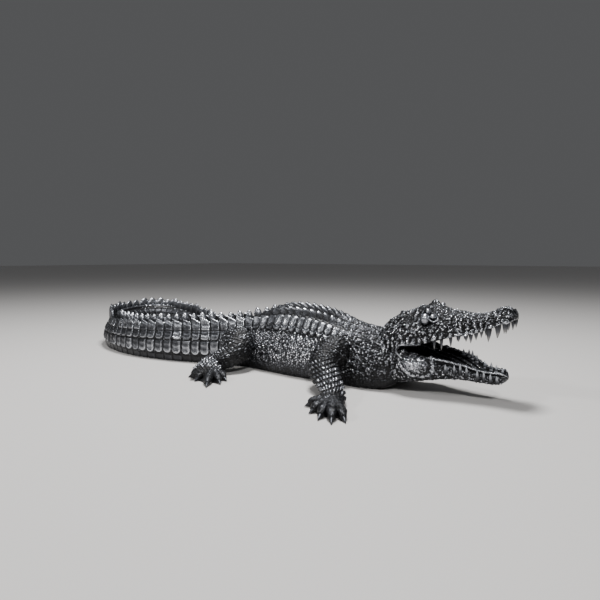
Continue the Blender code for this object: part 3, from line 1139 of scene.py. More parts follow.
class Skull(HeadPart):
    """Skull and upper jaw."""

    def __init__(self, cast: CastFrame) -> None:
        """Set its sizes.

        Args:
            cast: Frame that places it.
        """
        super().__init__(
            cast,
            "skull",
            rows=(
                (21.6, 2.9, 5.6, 8.4), (23.8, 3.9, 6.2, 10.9), (26.2, 4.6, 6.9, 12.0),
                (28.4, 4.6, 7.5, 12.4), (30.6, 4.1, 7.9, 12.7), (32.4, 3.5, 8.5, 12.5),
                (34.2, 3.0, 9.05, 12.2), (36.2, 2.6, 9.45, 12.2), (38.2, 2.4, 10.1, 12.5),
                (39.8, 2.35, 10.8, 13.0), (41.0, 2.35, 11.4, 13.5), (42.0, 2.0, 11.7, 13.3),
                (42.6, 1.3, 11.9, 12.9),
            ),
            section=(
                (0.00, 0.10), (0.55, 0.08), (0.86, 0.00), (1.00, 0.06), (1.00, 0.30),
                (0.88, 0.60), (0.64, 0.88), (0.34, 0.97), (0.00, 1.00),
            ),
            counts=(8, 8, 12, 17, 27, 25, 22, 20),
            rings=285,
            lumps=(
                Lump((29.6, 2.2, 12.7), (0.95, 0.85, 1.5), 1.30),
                Lump((28.0, 2.7, 12.3), (1.5, 0.8, 0.9), 0.40),
                Lump((31.7, 3.4, 11.7), (1.2, 1.2, 1.1), 0.25, lift=0.0, calm=0.3),
                Lump((30.7, 2.9, 12.2), (0.8, 0.6, 0.7), 0.35, calm=0.4),
                # The eye's socket: its shine below 0 paints a shadow in the hollow.
                Lump((30.36, 3.5, 11.5), (0.85, 1.2, 1.1), -0.65, lift=0.0, shine=-0.9, calm=1.0),
                Lump((25.9, 1.9, 12.0), (0.55, 0.6, 0.8), 0.60),
                Lump((27.1, 2.0, 12.2), (0.50, 0.6, 0.8), 0.50),
                Lump((28.0, 4.3, 11.0), (1.5, 0.9, 0.55), 0.0, calm=0.9),
                Lump((40.7, 0.95, 13.3), (0.9, 0.6, 1.0), 0.35),
                Lump((41.1, 0.75, 13.6), (0.32, 0.2, 0.6), -0.45),
                Lump((25.8, 3.0, 11.8), (1.2, 1.0, 0.9), 0.30),
            ),
            creases=(
                Crease(
                    ((26.7, 4.0, 11.05), (27.4, 4.2, 10.70), (28.4, 4.2, 10.75), (29.3, 3.9, 11.3)),
                    0.15, 0.36, 1.3,
                ),
                Crease(((26.7, 4.3, 10.4), (27.0, 4.4, 10.3)), 0.30, -0.55, -0.9),
                Crease(((28.1, 4.4, 10.4), (28.9, 4.3, 10.6)), 0.24, -0.50, -0.9),
                Crease(((31.4, 2.2, 12.9), (32.6, 2.4, 12.4), (34.2, 2.1, 12.2)), 0.30, 0.20, 0.1),
            ),
            tilt=(0.5, 34.0, 39.0),
        )

    def rough(
        self, points: Array, t: Array, arc: Array, seed: float
    ) -> tuple[Array, Array, Array]:
        """Scales and wrinkles of the skull, ribs across the snout, and festoons over the teeth.

        Args:
            points: Points of the skin.
            t: Places on the section's numbering, as a row.
            arc: Length round the section.
            seed: Tells the two sides apart.

        Returns:
            Height, shade and rub.
        """
        x = points[..., 0]
        outside = smooth(t, 2.75, 3.1)
        snout = smooth(x, 32.5, 35.0)
        bent = arc + 0.35 * (mottle(x, arc, 0.9, seed + 5.0) - 0.5)
        beads = Beads(0.46, 0.50, jitter=0.95, groove=0.5, peak=0.8, seed=seed)
        height, pick = beads.relief(x, bent)
        rugged = crumple(x, arc, 0.34, seed + 2.0)
        big = mottle(x, arc, 0.8, seed + 3.0)
        wave = np.sin(x * 7.3 + 1.6 * np.sin(arc * 1.3) + 1.2 * np.sin(x * 1.7 + seed))
        beside = smooth(t, 3.4, 4.2) * (1.0 - smooth(t, 5.8, 7.0))
        ribs = np.clip(wave, -0.6, 1.0) * beside * snout
        ribs = ribs * smooth(mottle(x, arc, 0.8, seed + 9.0), 0.2, 0.9)
        lip = bell(t - 3.3, 0.36)
        festoon = sum(bell(x - place[0], 0.34) for place in Teeth.upper)
        festoon = np.clip(festoon, 0.0, 1.2) + (x < 31.0) * (0.5 + 0.5 * np.sin(x * 7.4)) ** 2
        out = 0.20 * height * (0.3 + pick) + 0.20 * rugged + 0.22 * (big - 0.5) + 0.16 * ribs
        out = outside * out + lip * (0.06 + 0.24 * festoon)
        inside = 1.0 - outside
        palate = 0.10 * np.sin(x * 6.0) * bell(t, 1.5) * inside
        edge = bell(t - 2.6, 0.28)
        low = 1.0 - smooth(t, 4.6, 7.0)
        shade = 0.30 + 0.07 * snout + 0.52 * pick * (0.6 + 0.6 * low) + 0.24 * np.maximum(ribs, 0.0)
        shade = outside * shade + 0.26 * lip * festoon + inside * 0.16 + 0.30 * edge
        rub = 0.40 * lip * festoon + outside * 0.45 * smooth(pick, 0.72, 0.9) * height
        return out + palate, shade, rub


class LowerJaw(HeadPart):
    """Lower jaw with the gums."""

    def __init__(self, cast: CastFrame) -> None:
        """Set its sizes.

        Args:
            cast: Frame that places it.
        """
        super().__init__(
            cast,
            "lower_jaw",
            rows=(
                (22.8, 3.2, 1.4, 5.6), (25.4, 4.4, 1.2, 6.8), (28.0, 4.6, 1.7, 6.2),
                (30.5, 4.0, 2.2, 5.6), (33.0, 3.2, 2.6, 5.4), (35.6, 2.6, 2.8, 4.9),
                (38.0, 2.3, 2.75, 4.4), (39.8, 2.1, 2.7, 4.25), (40.9, 1.7, 2.9, 4.2),
                (41.6, 1.0, 3.2, 4.0),
            ),
            section=(
                (0.00, 0.00), (0.62, 0.03), (0.92, 0.22), (1.00, 0.52), (0.92, 0.78),
                (0.80, 1.00), (0.62, 0.78), (0.34, 0.60), (0.00, 0.55),
            ),
            counts=(10, 15, 20, 20, 16, 10, 8, 8),
            rings=190,
            lumps=(
                Lump((28.9, 4.4, 4.7), (2.2, 1.6, 1.5), 0.85, lift=0.0),
            ),
            creases=(
                Crease(
                    ((25.7, 4.6, 6.2), (25.4, 4.9, 5.0), (25.7, 4.8, 3.6), (27.0, 4.4, 2.2)),
                    0.26, 0.30, 0.35,
                ),
                Crease(
                    ((26.3, 4.9, 5.6), (26.1, 5.0, 4.6), (26.5, 4.9, 3.4), (27.6, 4.6, 2.5)),
                    0.24, -0.25, -0.6,
                ),
            ),
            tilt=(0.9, 35.3, 38.8),
        )

    def rough(
        self, points: Array, t: Array, arc: Array, seed: float
    ) -> tuple[Array, Array, Array]:
        """Scales of the lower jaw, the smooth muscle at its back, the gum and the lined inside.

        Args:
            points: Points of the skin.
            t: Places on the section's numbering, as a row.
            arc: Length round the section.
            seed: Tells the two sides apart.

        Returns:
            Height, shade and rub.
        """
        x, z = points[..., 0], points[..., 2]
        outside = 1.0 - smooth(t, 4.95, 5.2)
        oval = ((x - 29.3) / 2.6) ** 2 + ((z - 4.9 + 0.25 * (x - 29.3)) / 1.75) ** 2
        muscle = (1.0 - smooth(oval, 0.7, 1.0)) * outside
        rim = bell(oval - 0.95, 0.22) * outside
        beads = Beads(0.36, 0.42, jitter=0.9, groove=0.4, peak=0.7, seed=seed)
        height, pick = beads.relief(x, arc)
        lace = crumple(x, arc, 0.33, seed + 6.0)
        low = 1.0 - smooth(t, 1.7, 2.4)
        front = smooth(x, 31.5, 33.0)
        gum = bell(t - 5.0, 0.20) * smooth(x, 30.3, 31.5)
        groove = bell(t - 4.42, 0.36) * front
        plain = (0.13 * height * (0.4 + pick) + 0.13 * lace) * (1.0 - 0.8 * muscle)
        net = crumple(x, arc, 0.2, seed + 8.0)
        out = outside * (plain + 0.07 * net * muscle) + 0.16 * rim + 0.20 * gum - 0.26 * groove
        streaks = np.sin(arc * 9.0 + 0.8 * np.sin(x * 0.8)) * (1.0 - outside)
        # Painted shade: darker along the jaw's underside.
        shade = outside * (0.61 + 0.40 * pick + 0.62 * muscle - 0.24 * low)
        shade = shade * (1.0 - 0.95 * groove)
        shade = shade + (1.0 - outside) * (0.62 + 1.10 * np.maximum(streaks, 0.0))
        return out + 0.03 * streaks, shade, gum * 1.3 + 0.25 * rim


@dataclass(frozen=True)
class Fold:
    """A rounded fold of skin on each side of the head, as a bent tube."""

    name: str
    rows: tuple[tuple[float, float, float, float], ...]
    rings: int = 60
    columns: int = 20
    tone: float = 0.7

    def build(self, cast: CastFrame, head: HeadPart, material: bpy.types.Material) -> None:
        """Make one on each side.

        Args:
            cast: Frame that places it.
            head: The part that carries it.
            material: Its finish.
        """
        track = Track(self.rows, 3)
        data = track.at(np.linspace(0.0, track.length, self.rings))
        angles = np.arange(self.columns) / self.columns * TURN
        points, out = sweep(data[:, :3], data[:, 3], data[:, 3], angles)
        # Painted light and shade: lighter on top of the fold, darker underneath.
        tone = self.tone * (0.35 + 0.65 * smooth(out[..., 2], -0.7, 0.6))
        for side in Side:
            mirrored = head.tilted(points * (1.0, side.value, 1.0))
            label = "%s_%s" % (self.name, side.name.lower())
            declare(Skin(mirrored, tone, tone * 0.3).make(label, cast, material))


@dataclass(frozen=True)
class Ball:
    """A smooth ball, such as an eye."""

    name: str
    place: tuple[float, float, float]
    radii: tuple[float, float, float]
    rings: int = 20
    columns: int = 32

    def build(self, cast: CastFrame, head: HeadPart, material: bpy.types.Material) -> None:
        """Make one on each side of the head.

        Args:
            cast: Frame that places it.
            head: The part that carries it.
            material: Its finish.
        """
        for side in Side:
            polar = np.linspace(0.0, math.pi, self.rings + 1)[1:-1, None]
            around = np.arange(self.columns)[None, :] / self.columns * TURN
            unit = np.stack([
                np.sin(polar) * np.cos(around),
                np.cos(polar) * np.ones_like(around),
                np.sin(polar) * np.sin(around),
            ], axis=-1)
            centre = np.array(self.place) * (1.0, side.value, 1.0)
            points = head.tilted(centre + unit * np.array(self.radii))
            # Painted light and shade: lighter on top of the ball, darker underneath.
            tone = 0.35 + 0.45 * smooth(unit[..., 2], -0.8, 0.5)
            label = "%s_%s" % (self.name, side.name.lower())
            declare(Skin(points, tone, tone * 0.5).make(label, cast, material))


def sweep(centres: Array, half_across: Array, half_up: Array, angles: Array) -> tuple[Array, Array]:
    """Rings of a bent tube and the directions that point out of it.

    Args:
        centres: Points along its axis.
        half_across: Its half width across, at each point.
        half_up: Its half width the other way, at each point.
        angles: Angles round it.

    Returns:
        Points and unit directions, each as rings by angles by 3.
    """
    ahead = np.gradient(centres, axis=0)
    ahead /= np.linalg.norm(ahead, axis=1)[:, None]
    across = np.cross(ahead, (0.0, 0.0, 1.0))
    across /= np.linalg.norm(across, axis=1)[:, None]
    upward = np.cross(across, ahead)
    cos, sin = np.cos(angles)[None, :, None], np.sin(angles)[None, :, None]
    wide, tall = half_across[:, None, None], half_up[:, None, None]
    spoke = across[:, None] * wide * cos + upward[:, None] * tall * sin
    out = across[:, None] * cos / wide + upward[:, None] * sin / tall
    out /= np.linalg.norm(out, axis=-1)[..., None]
    return centres[:, None] + spoke, out


@dataclass(frozen=True)
class LimbLook:
    """How the scales of a pair of legs look.

    Shin is where the straight rows of the shin begin, in shares of the leg. Dark is the shade of
    the darkest scales, and light what the brightest have more.
    """

    shin: tuple[float, float]
    dark: float
    light: float
    seed: float


LIMB_LOOKS = {
    Limb.FRONT: LimbLook((0.30, 0.48), 0.09, 0.47, 7.0),
    Limb.HIND: LimbLook((0.56, 0.72), 0.17, 0.62, 11.0),
}


@dataclass
class Leg:
    """One leg with its foot, toes and web.

    A row of the leg gives a point of its axis, its half width and its half height. Palm and tips
    are the middle of the foot and the claws' tips in plan. Those of the right leg are given, and
    step moves the left one along x. A row of a toe gives its share of the way to the tip, its
    half width and its height.
    """

    cast: CastFrame
    limb: Limb
    side: Side
    rows: tuple[tuple[float, ...], ...]
    palm: tuple[float, float]
    tips: tuple[tuple[float, float], ...]
    step: float
    toe: tuple[tuple[float, ...], ...] = (
        (0.10, 0.80, 0.85), (0.30, 0.74, 0.76), (0.50, 0.72, 0.66), (0.62, 0.72, 0.64),
        (0.74, 0.62, 0.60), (0.84, 0.42, 0.46),
    )
    toe_grid: tuple[int, int] = (42, 28)
    claw_from: float = 0.62
    claw_size: tuple[float, float] = (0.56, 0.52)
    claw_heights: tuple[float, float] = (0.70, 0.20)
    web_reach: float = 0.80
    web_grid: tuple[int, int] = (65, 22)
    web_heights: tuple[float, float] = (0.24, 0.95)
    foot_from: tuple[float, float] = (3.4, 1.8)
    foot_grain: float = 0.6
    near_grid: tuple[int, int] = (215, 165)
    far_grid: tuple[int, int] = (110, 90)
    cells: tuple[float, float] = (0.50, 0.68)
    columns: tuple[float, float] = (36.0, 22.0)
    bands: tuple[float, float, float] = (0.39, 0.03, -0.92)

    @property
    def name(self) -> str:
        """Name of the leg's pieces."""
        return "%s_leg_%s" % (self.limb.value, self.side.name.lower())

    def placed(self, points: Array) -> Array:
        """Move points of the right leg to this leg.

        Args:
            points: Points with x, y last or x, y, z last.

        Returns:
            Moved points.
        """
        moved = np.array(points, float)
        moved[..., 0] += self.step
        moved[..., 1] *= -self.side.value
        return moved

    def shank(self) -> Skin:
        """The leg itself, down into the foot.

        Returns:
            The skin.
        """
        track, look = Track(self.rows, 3), LIMB_LOOKS[self.limb]
        rings, columns = self.near_grid if self.side is Side.RIGHT else self.far_grid
        place = np.linspace(0.0, track.length, rings)
        data = track.at(place)
        even = np.arange(columns) / columns * TURN
        angles = even - 0.40 * np.sin(even - 0.25 * math.pi) - 0.5 * math.pi
        points, out = sweep(data[:, :3], data[:, 3], data[:, 4], angles)
        lower = smooth(place, *(share * track.length for share in look.shin))[:, None]
        turned = angles[None, :] / TURN
        rows = [(place / cell)[:, None] for cell in self.cells]
        if self.limb is Limb.FRONT:
            rows[1] = points @ np.array(self.bands) / self.cells[1]
        skin, shin = (
            Beads(1.0, 1.0, jitter=jitter, groove=0.5, peak=0.6, seed=look.seed, turns=count)
            for jitter, count in zip((0.6, 0.15), self.columns)
        )
        height, pick = skin.relief(rows[0], turned * self.columns[0])
        height_low, pick_low = shin.relief(rows[1], turned * self.columns[1])
        gap = rows[1] - np.floor(rows[1])
        height_low = height_low * smooth(gap, 0.04, 0.26) * smooth(1.0 - gap, 0.02, 0.18)
        foot = smooth(place, *(track.length - left for left in self.foot_from))[:, None]
        height = 0.20 * height * (0.5 + pick) * (1.0 - lower)
        height = height + 0.36 * height_low * (0.8 + 0.3 * pick_low) * lower
        pick = pick * (1.0 - lower) + (0.55 + 0.45 * pick_low) * lower
        rugged = crumple(place[:, None], turned * self.columns[1] * 0.6, 0.4, look.seed)
        height = height * (1.0 - 0.75 * foot) + 0.05 * rugged
        points = points + out * height[..., None]
        points[..., 2] = np.maximum(points[..., 2], 0.0)
        lit = 0.25 + 0.75 * smooth(out[..., 2], -0.6, 0.6)
        shade = (look.dark + look.light * pick) * lit * (1.0 - 0.6 * foot)
        tone = shade * standout(height, 0.07, 0.06, wrap=True, reach=8)
        rub = 0.8 * smooth(height_low * lower, 0.35, 0.8) * (1.0 - foot) * lit
        rub = rub * smooth(pick, 0.6, 0.9)
        fine = 0.3 + 0.2 * (1.0 - lower) + 0.3 * foot + 0.0 * tone
        return Skin(self.placed(points), tone, rub, fine)

    def toe_line(self, tip: tuple[float, float]) -> tuple[Array, Array]:
        """Axis and half width of one toe.

        Args:
            tip: The claw's tip in plan.

        Returns:
            Points along the axis and the half width at each.
        """
        shares, widths, heights = np.array(self.toe).T
        plan = np.array(self.palm) + (np.array(tip) - np.array(self.palm)) * shares[:, None]
        rows = np.column_stack([plan, heights, widths])
        track = Track(rows.tolist(), 3)
        data = track.at(np.linspace(0.0, track.length, self.toe_grid[0]))
        return data[:, :3], data[:, 3]

    def toes(self) -> list[Skin]:
        """The five toes.

        Returns:
            One skin for each.
        """
        skins = []
        columns = self.toe_grid[1]
        angles = np.arange(columns) / columns * TURN
        for tip in self.tips:
            axis, width = self.toe_line(tip)
            points, out = sweep(axis, width, width * 1.05, angles)
            along = np.linspace(0.0, 1.0, len(axis))[:, None]
            bands = np.abs(np.sin(along * 9.0 * math.pi)) ** 0.5
            top = smooth(out[..., 2], 0.0, 0.6)
            rough = crumple(points[..., 0], points[..., 1], 0.4, 3.0)
            height = (0.09 * bands + 0.15 * rough) * top * (1.0 - smooth(along, 0.8, 1.0))
            points = points + out * height[..., None]
            points[..., 2] = np.maximum(points[..., 2], 0.05)
            lit = smooth(out[..., 2], 0.40, 1.0)
            tone = 0.07 + (0.02 + 0.06 * bands + 0.20 * rough) * lit
            fine = 0.0 * tone + self.foot_grain
            skins.append(Skin(self.placed(points), tone, 0.0 * tone, fine))
        return skins

    def web(self) -> Skin:
        """The pad of the foot with the web between the toes.

        Returns:
            The skin.
        """
        palm = np.array(self.palm)
        tips = np.array(self.tips) - palm
        lengths = np.linalg.norm(tips, axis=1)
        turns = np.unwrap(np.arctan2(tips[:, 1], tips[:, 0]))
        steps = np.linspace(0.0, len(tips) - 1.0, self.web_grid[0])
        turn = np.interp(steps, np.arange(len(tips)), turns)
        reach = np.interp(steps, np.arange(len(tips)), lengths)
        between = np.abs(np.sin(steps * math.pi))
        reach = reach * self.web_reach * (1.0 - (0.16 + 0.22 * (steps < 1.0)) * between)
        share = np.linspace(0.02, 1.0, self.web_grid[1])
        edge, middle = self.web_heights
        height = edge + (middle - edge) * (1.0 - share) ** 1.4
        spokes = np.stack([np.cos(turn), np.sin(turn)], axis=-1)[:, None]
        top = palm + spokes * (reach[:, None] * share)[..., None]
        rough = crumple(top[..., 0], top[..., 1], 0.5, 5.0)
        fold = 0.05 * np.sin(steps * math.pi * 6.0)[:, None] * share[None, :] + 0.12 * rough
        height = height[None, :] + fold + 0.12 * (1.0 - between[:, None])
        upper = np.concatenate([top, height[..., None]], axis=-1)
        lower = np.concatenate([top[:, ::-1], np.full(top.shape[:2] + (1,), 0.06)], axis=-1)
        points = np.concatenate([upper, lower], axis=1)
        tone = 0.08 + 0.7 * np.maximum(fold, 0.0) + 0.08 * rough
        tone = np.concatenate([tone, 0.0 * fold], axis=1)
        return Skin(self.placed(points), tone, tone * 0.0, tone * 0.0 + self.foot_grain)

    def build(self, material: bpy.types.Material) -> None:
        """Make the leg's pieces.

        Args:
            material: Their finish.
        """
        declare(self.shank().make(self.name, self.cast, material))
        declare(self.web().make(self.name + "_web", self.cast, material))
        for number, skin in enumerate(self.toes()):
            declare(skin.make("%s_toe_%d" % (self.name, number), self.cast, material))

    def claws(self) -> list[Stand]:
        """Where the claws stand.

        Returns:
            Root, tip and size of each.
        """
        found = []
        for tip in self.tips:
            plan = np.array(self.palm) + (np.array(tip) - np.array(self.palm)) * self.claw_from
            root = np.append(plan, self.claw_heights[0])
            end = np.append(np.array(tip), self.claw_heights[1])
            size = np.append(np.array(self.claw_size), np.linalg.norm(end - root))
            found.append((self.placed(root), self.placed(end), size))
        return found


class Nodes:
    """Adds nodes to one tree."""

    def __init__(self, name: str, kind: str) -> None:
        """Start a node group.

        Args:
            name: Its name.
            kind: Its type.
        """
        self.tree = bpy.data.node_groups.new(name, kind)
        self.inputs: dict[str, str] = {}

    def sockets(self, way: str, labels: Sequence[tuple[str, str]]) -> None:
        """Give the group named sockets.

        Args:
            way: INPUT or OUTPUT.
            labels: Name and type of each.
        """
        for label, kind in labels:
            socket = self.tree.interface.new_socket(label, in_out=way, socket_type="NodeSocket" + kind)
            if way == "INPUT":
                self.inputs[label] = socket.identifier

    def add(
        self, kind: str, feeds: dict[int | str, object] | None = None, **settings: object
    ) -> bpy.types.Node:
        """Put one node in the tree.

        Args:
            kind: The node's type.
            feeds: What goes in each of its sockets, a socket or a plain value.
            settings: Its settings.

        Returns:
            The node.
        """
        node = self.tree.nodes.new(kind)
        for key, setting in settings.items():
            setattr(node, key, setting)
        for slot, value in (feeds or {}).items():
            if isinstance(value, bpy.types.NodeSocket):
                self.tree.links.new(value, node.inputs[slot])
            else:
                node.inputs[slot].default_value = value
        return node

    def sums(self, operation: str, first: object, second: object) -> bpy.types.NodeSocket:
        """Work out one sum of two sockets or numbers.

        Args:
            operation: The sum's name.
            first: A socket or a number.
            second: A socket or a number.

        Returns:
            The socket with the result.
        """
        return self.add("ShaderNodeMath", {0: first, 1: second}, operation=operation).outputs[0]


class ConeTree(Nodes):
    """Geometry nodes that set one curved cone at each point, built once and shared."""

    def __init__(self) -> None:
        """Build the node group."""
        super().__init__("cones_at_points", "GeometryNodeTree")
        self.sockets("INPUT", (
            ("Points", "Geometry"), ("Sides", "Int"), ("Rings", "Int"), ("Bend", "Float"),
            ("Taper", "Float"), ("Dark Root", "Float"), ("Light Tip", "Float"), ("Painted Shade Side", "Float"),
            ("Finish", "Material"),
        ))
        self.sockets("OUTPUT", (("Cones", "Geometry"),))
        start = self.add("NodeGroupInput")
        smoothed = self.add("GeometryNodeSetShadeSmooth", {"Geometry": self.toned(start, self.shaped(start))})
        turn, size = (
            self.add(
                "GeometryNodeInputNamedAttribute", {"Name": label}, data_type="FLOAT_VECTOR",
            ).outputs["Attribute"]
            for label in ("turn", "size")
        )
        euler = self.add("FunctionNodeEulerToRotation", {0: turn})
        placed = self.add("GeometryNodeInstanceOnPoints", {
            "Points": start.outputs["Points"], "Instance": smoothed.outputs["Geometry"],
            "Rotation": euler.outputs[0], "Scale": size,
        })
        real = self.add("GeometryNodeRealizeInstances", {"Geometry": placed.outputs["Instances"]})
        dressed = self.add("GeometryNodeSetMaterial", {
            "Geometry": real.outputs["Geometry"], "Material": start.outputs["Finish"],
        })
        self.add("NodeGroupOutput", {"Cones": dressed.outputs["Geometry"]})

    def shaped(self, start: bpy.types.Node) -> bpy.types.NodeSocket:
        """Make the cone, swollen in its middle and bent.

        Args:
            start: The group's inputs.

        Returns:
            The cone's geometry.
        """
        cone = self.add("GeometryNodeMeshCone", {
            "Vertices": start.outputs["Sides"], "Side Segments": start.outputs["Rings"],
            "Radius Top": 1.0, "Radius Bottom": 1.0, "Depth": 1.0,
        }, fill_type="NGON")
        position = self.add("GeometryNodeInputPosition").outputs[0]
        parts = self.add("ShaderNodeSeparateXYZ", {0: position}).outputs
        height = parts["Z"]
        narrowed = self.sums("MULTIPLY", self.sums("POWER", height, start.outputs["Taper"]), 0.96)
        wide = self.sums("SUBTRACT", 1.0, narrowed)
        lean = self.sums("MULTIPLY", self.sums("MULTIPLY", height, height), start.outputs["Bend"])
        moved = self.add("ShaderNodeCombineXYZ", {
            "X": self.sums("ADD", self.sums("MULTIPLY", parts["X"], wide), lean),
            "Y": self.sums("MULTIPLY", parts["Y"], wide), "Z": height,
        })
        return self.add("GeometryNodeSetPosition", {
            "Geometry": cone.outputs["Mesh"], "Position": moved.outputs[0],
        }).outputs["Geometry"]

    def toned(self, start: bpy.types.Node, cone: bpy.types.NodeSocket) -> bpy.types.NodeSocket:
        """Store how bright the cone is, with painted shade at its root and on its side turned from the light.

        Args:
            start: The group's inputs.
            cone: The cone's geometry.

        Returns:
            The same cone with its tone.
        """
        position = self.add("GeometryNodeInputPosition").outputs[0]
        parts = self.add("ShaderNodeSeparateXYZ", {0: position}).outputs
        # Painted shade at the root, painted light at the tip.
        shade = self.add("ShaderNodeMapRange", {
            "Value": parts["Z"], "From Min": 0.15, "From Max": 0.75,
            "To Min": start.outputs["Dark Root"], "To Max": start.outputs["Light Tip"],
        }).outputs["Result"]
        # Painted shade on the side that faces away from the light.
        facing = self.add("GeometryNodeInputNormal").outputs[0]
        normal = self.add("ShaderNodeSeparateXYZ", {0: facing}).outputs["X"]
        away = self.add("ShaderNodeMapRange", {
            "Value": normal, "From Min": -0.3, "From Max": 0.9, "To Min": 1.0, "To Max": 0.0,
        }).outputs["Result"]
        kept = self.sums("SUBTRACT", 1.0, self.sums("MULTIPLY", away, start.outputs["Painted Shade Side"]))
        return self.add("GeometryNodeStoreNamedAttribute", {
            "Geometry": cone, "Name": "tone", "Value": self.sums("MULTIPLY", shade, kept),
        }, data_type="FLOAT", domain="POINT").outputs["Geometry"]


@dataclass
class Cones:
    """Curved cones set at points: teeth, claws or crest scutes."""

    cast: CastFrame
    shared: ConeTree
    name: str
    sides: int = 12
    rings: int = 7
    bend: float = 0.25
    taper: float = 1.5
    # Painted shade: darker at the root, lighter at the tip, and darker on the side turned from the light.
    dark_root: float = 0.25
    light_tip: float = 0.9
    painted_shade_side: float = 0.0

    @staticmethod
    def turns(axes: Array, bow: Array) -> Array:
        """Angles that turn a cone from upright to each axis, bowed one way.

        Args:
            axes: Unit directions of the cones.
            bow: Which way each bows.

        Returns:
            Three angles for each.
        """
        side = np.cross(axes, bow)
        side /= np.linalg.norm(side, axis=1)[:, None] + 1e-9
        front = np.cross(side, axes)
        pitch = -np.arcsin(np.clip(front[:, 2], -1.0, 1.0))
        return np.stack([
            np.arctan2(side[:, 2], axes[:, 2]), pitch, np.arctan2(front[:, 1], front[:, 0]),
        ], axis=-1)

    def build(
        self, stands: Sequence[Stand], bow: Array, material: bpy.types.Material
    ) -> None:
        """Make the cones.

        Args:
            stands: Root, tip and size of each.
            bow: Which way each bows, one direction for all or one for each.
            material: Their finish.
        """
        roots = np.array([stand[0] for stand in stands])
        axes = np.array([stand[1] for stand in stands]) - roots
        axes /= np.linalg.norm(axes, axis=1)[:, None]
        turn = self.turns(axes, np.broadcast_to(np.asarray(bow, float), axes.shape))
        mesh = bpy.data.meshes.new(self.name)
        mesh.vertices.add(len(roots))
        mesh.vertices.foreach_set("co", self.cast.metres(roots).astype(np.float32).ravel())
        sizes = np.array([stand[2] for stand in stands]) * self.cast.unit
        for label, values in (("turn", turn), ("size", sizes)):
            layer = mesh.attributes.new(label, "FLOAT_VECTOR", "POINT")
            layer.data.foreach_set("vector", values.astype(np.float32).ravel())
        obj = bpy.data.objects.new(self.name, mesh)
        bpy.context.scene.collection.objects.link(obj)
        modifier = obj.modifiers.new("set", "NODES")
        modifier.node_group = self.shared.tree
        for label, value in (
            ("Sides", self.sides), ("Rings", self.rings), ("Bend", self.bend),
            ("Taper", self.taper), ("Dark Root", self.dark_root), ("Light Tip", self.light_tip),
            ("Painted Shade Side", self.painted_shade_side), ("Finish", material),
        ):
            modifier[self.shared.inputs[label]] = value
        graph = bpy.context.evaluated_depsgraph_get()
        solid = bpy.data.meshes.new_from_object(obj.evaluated_get(graph))
        obj.modifiers.clear()
        obj.data = solid
        declare(obj)


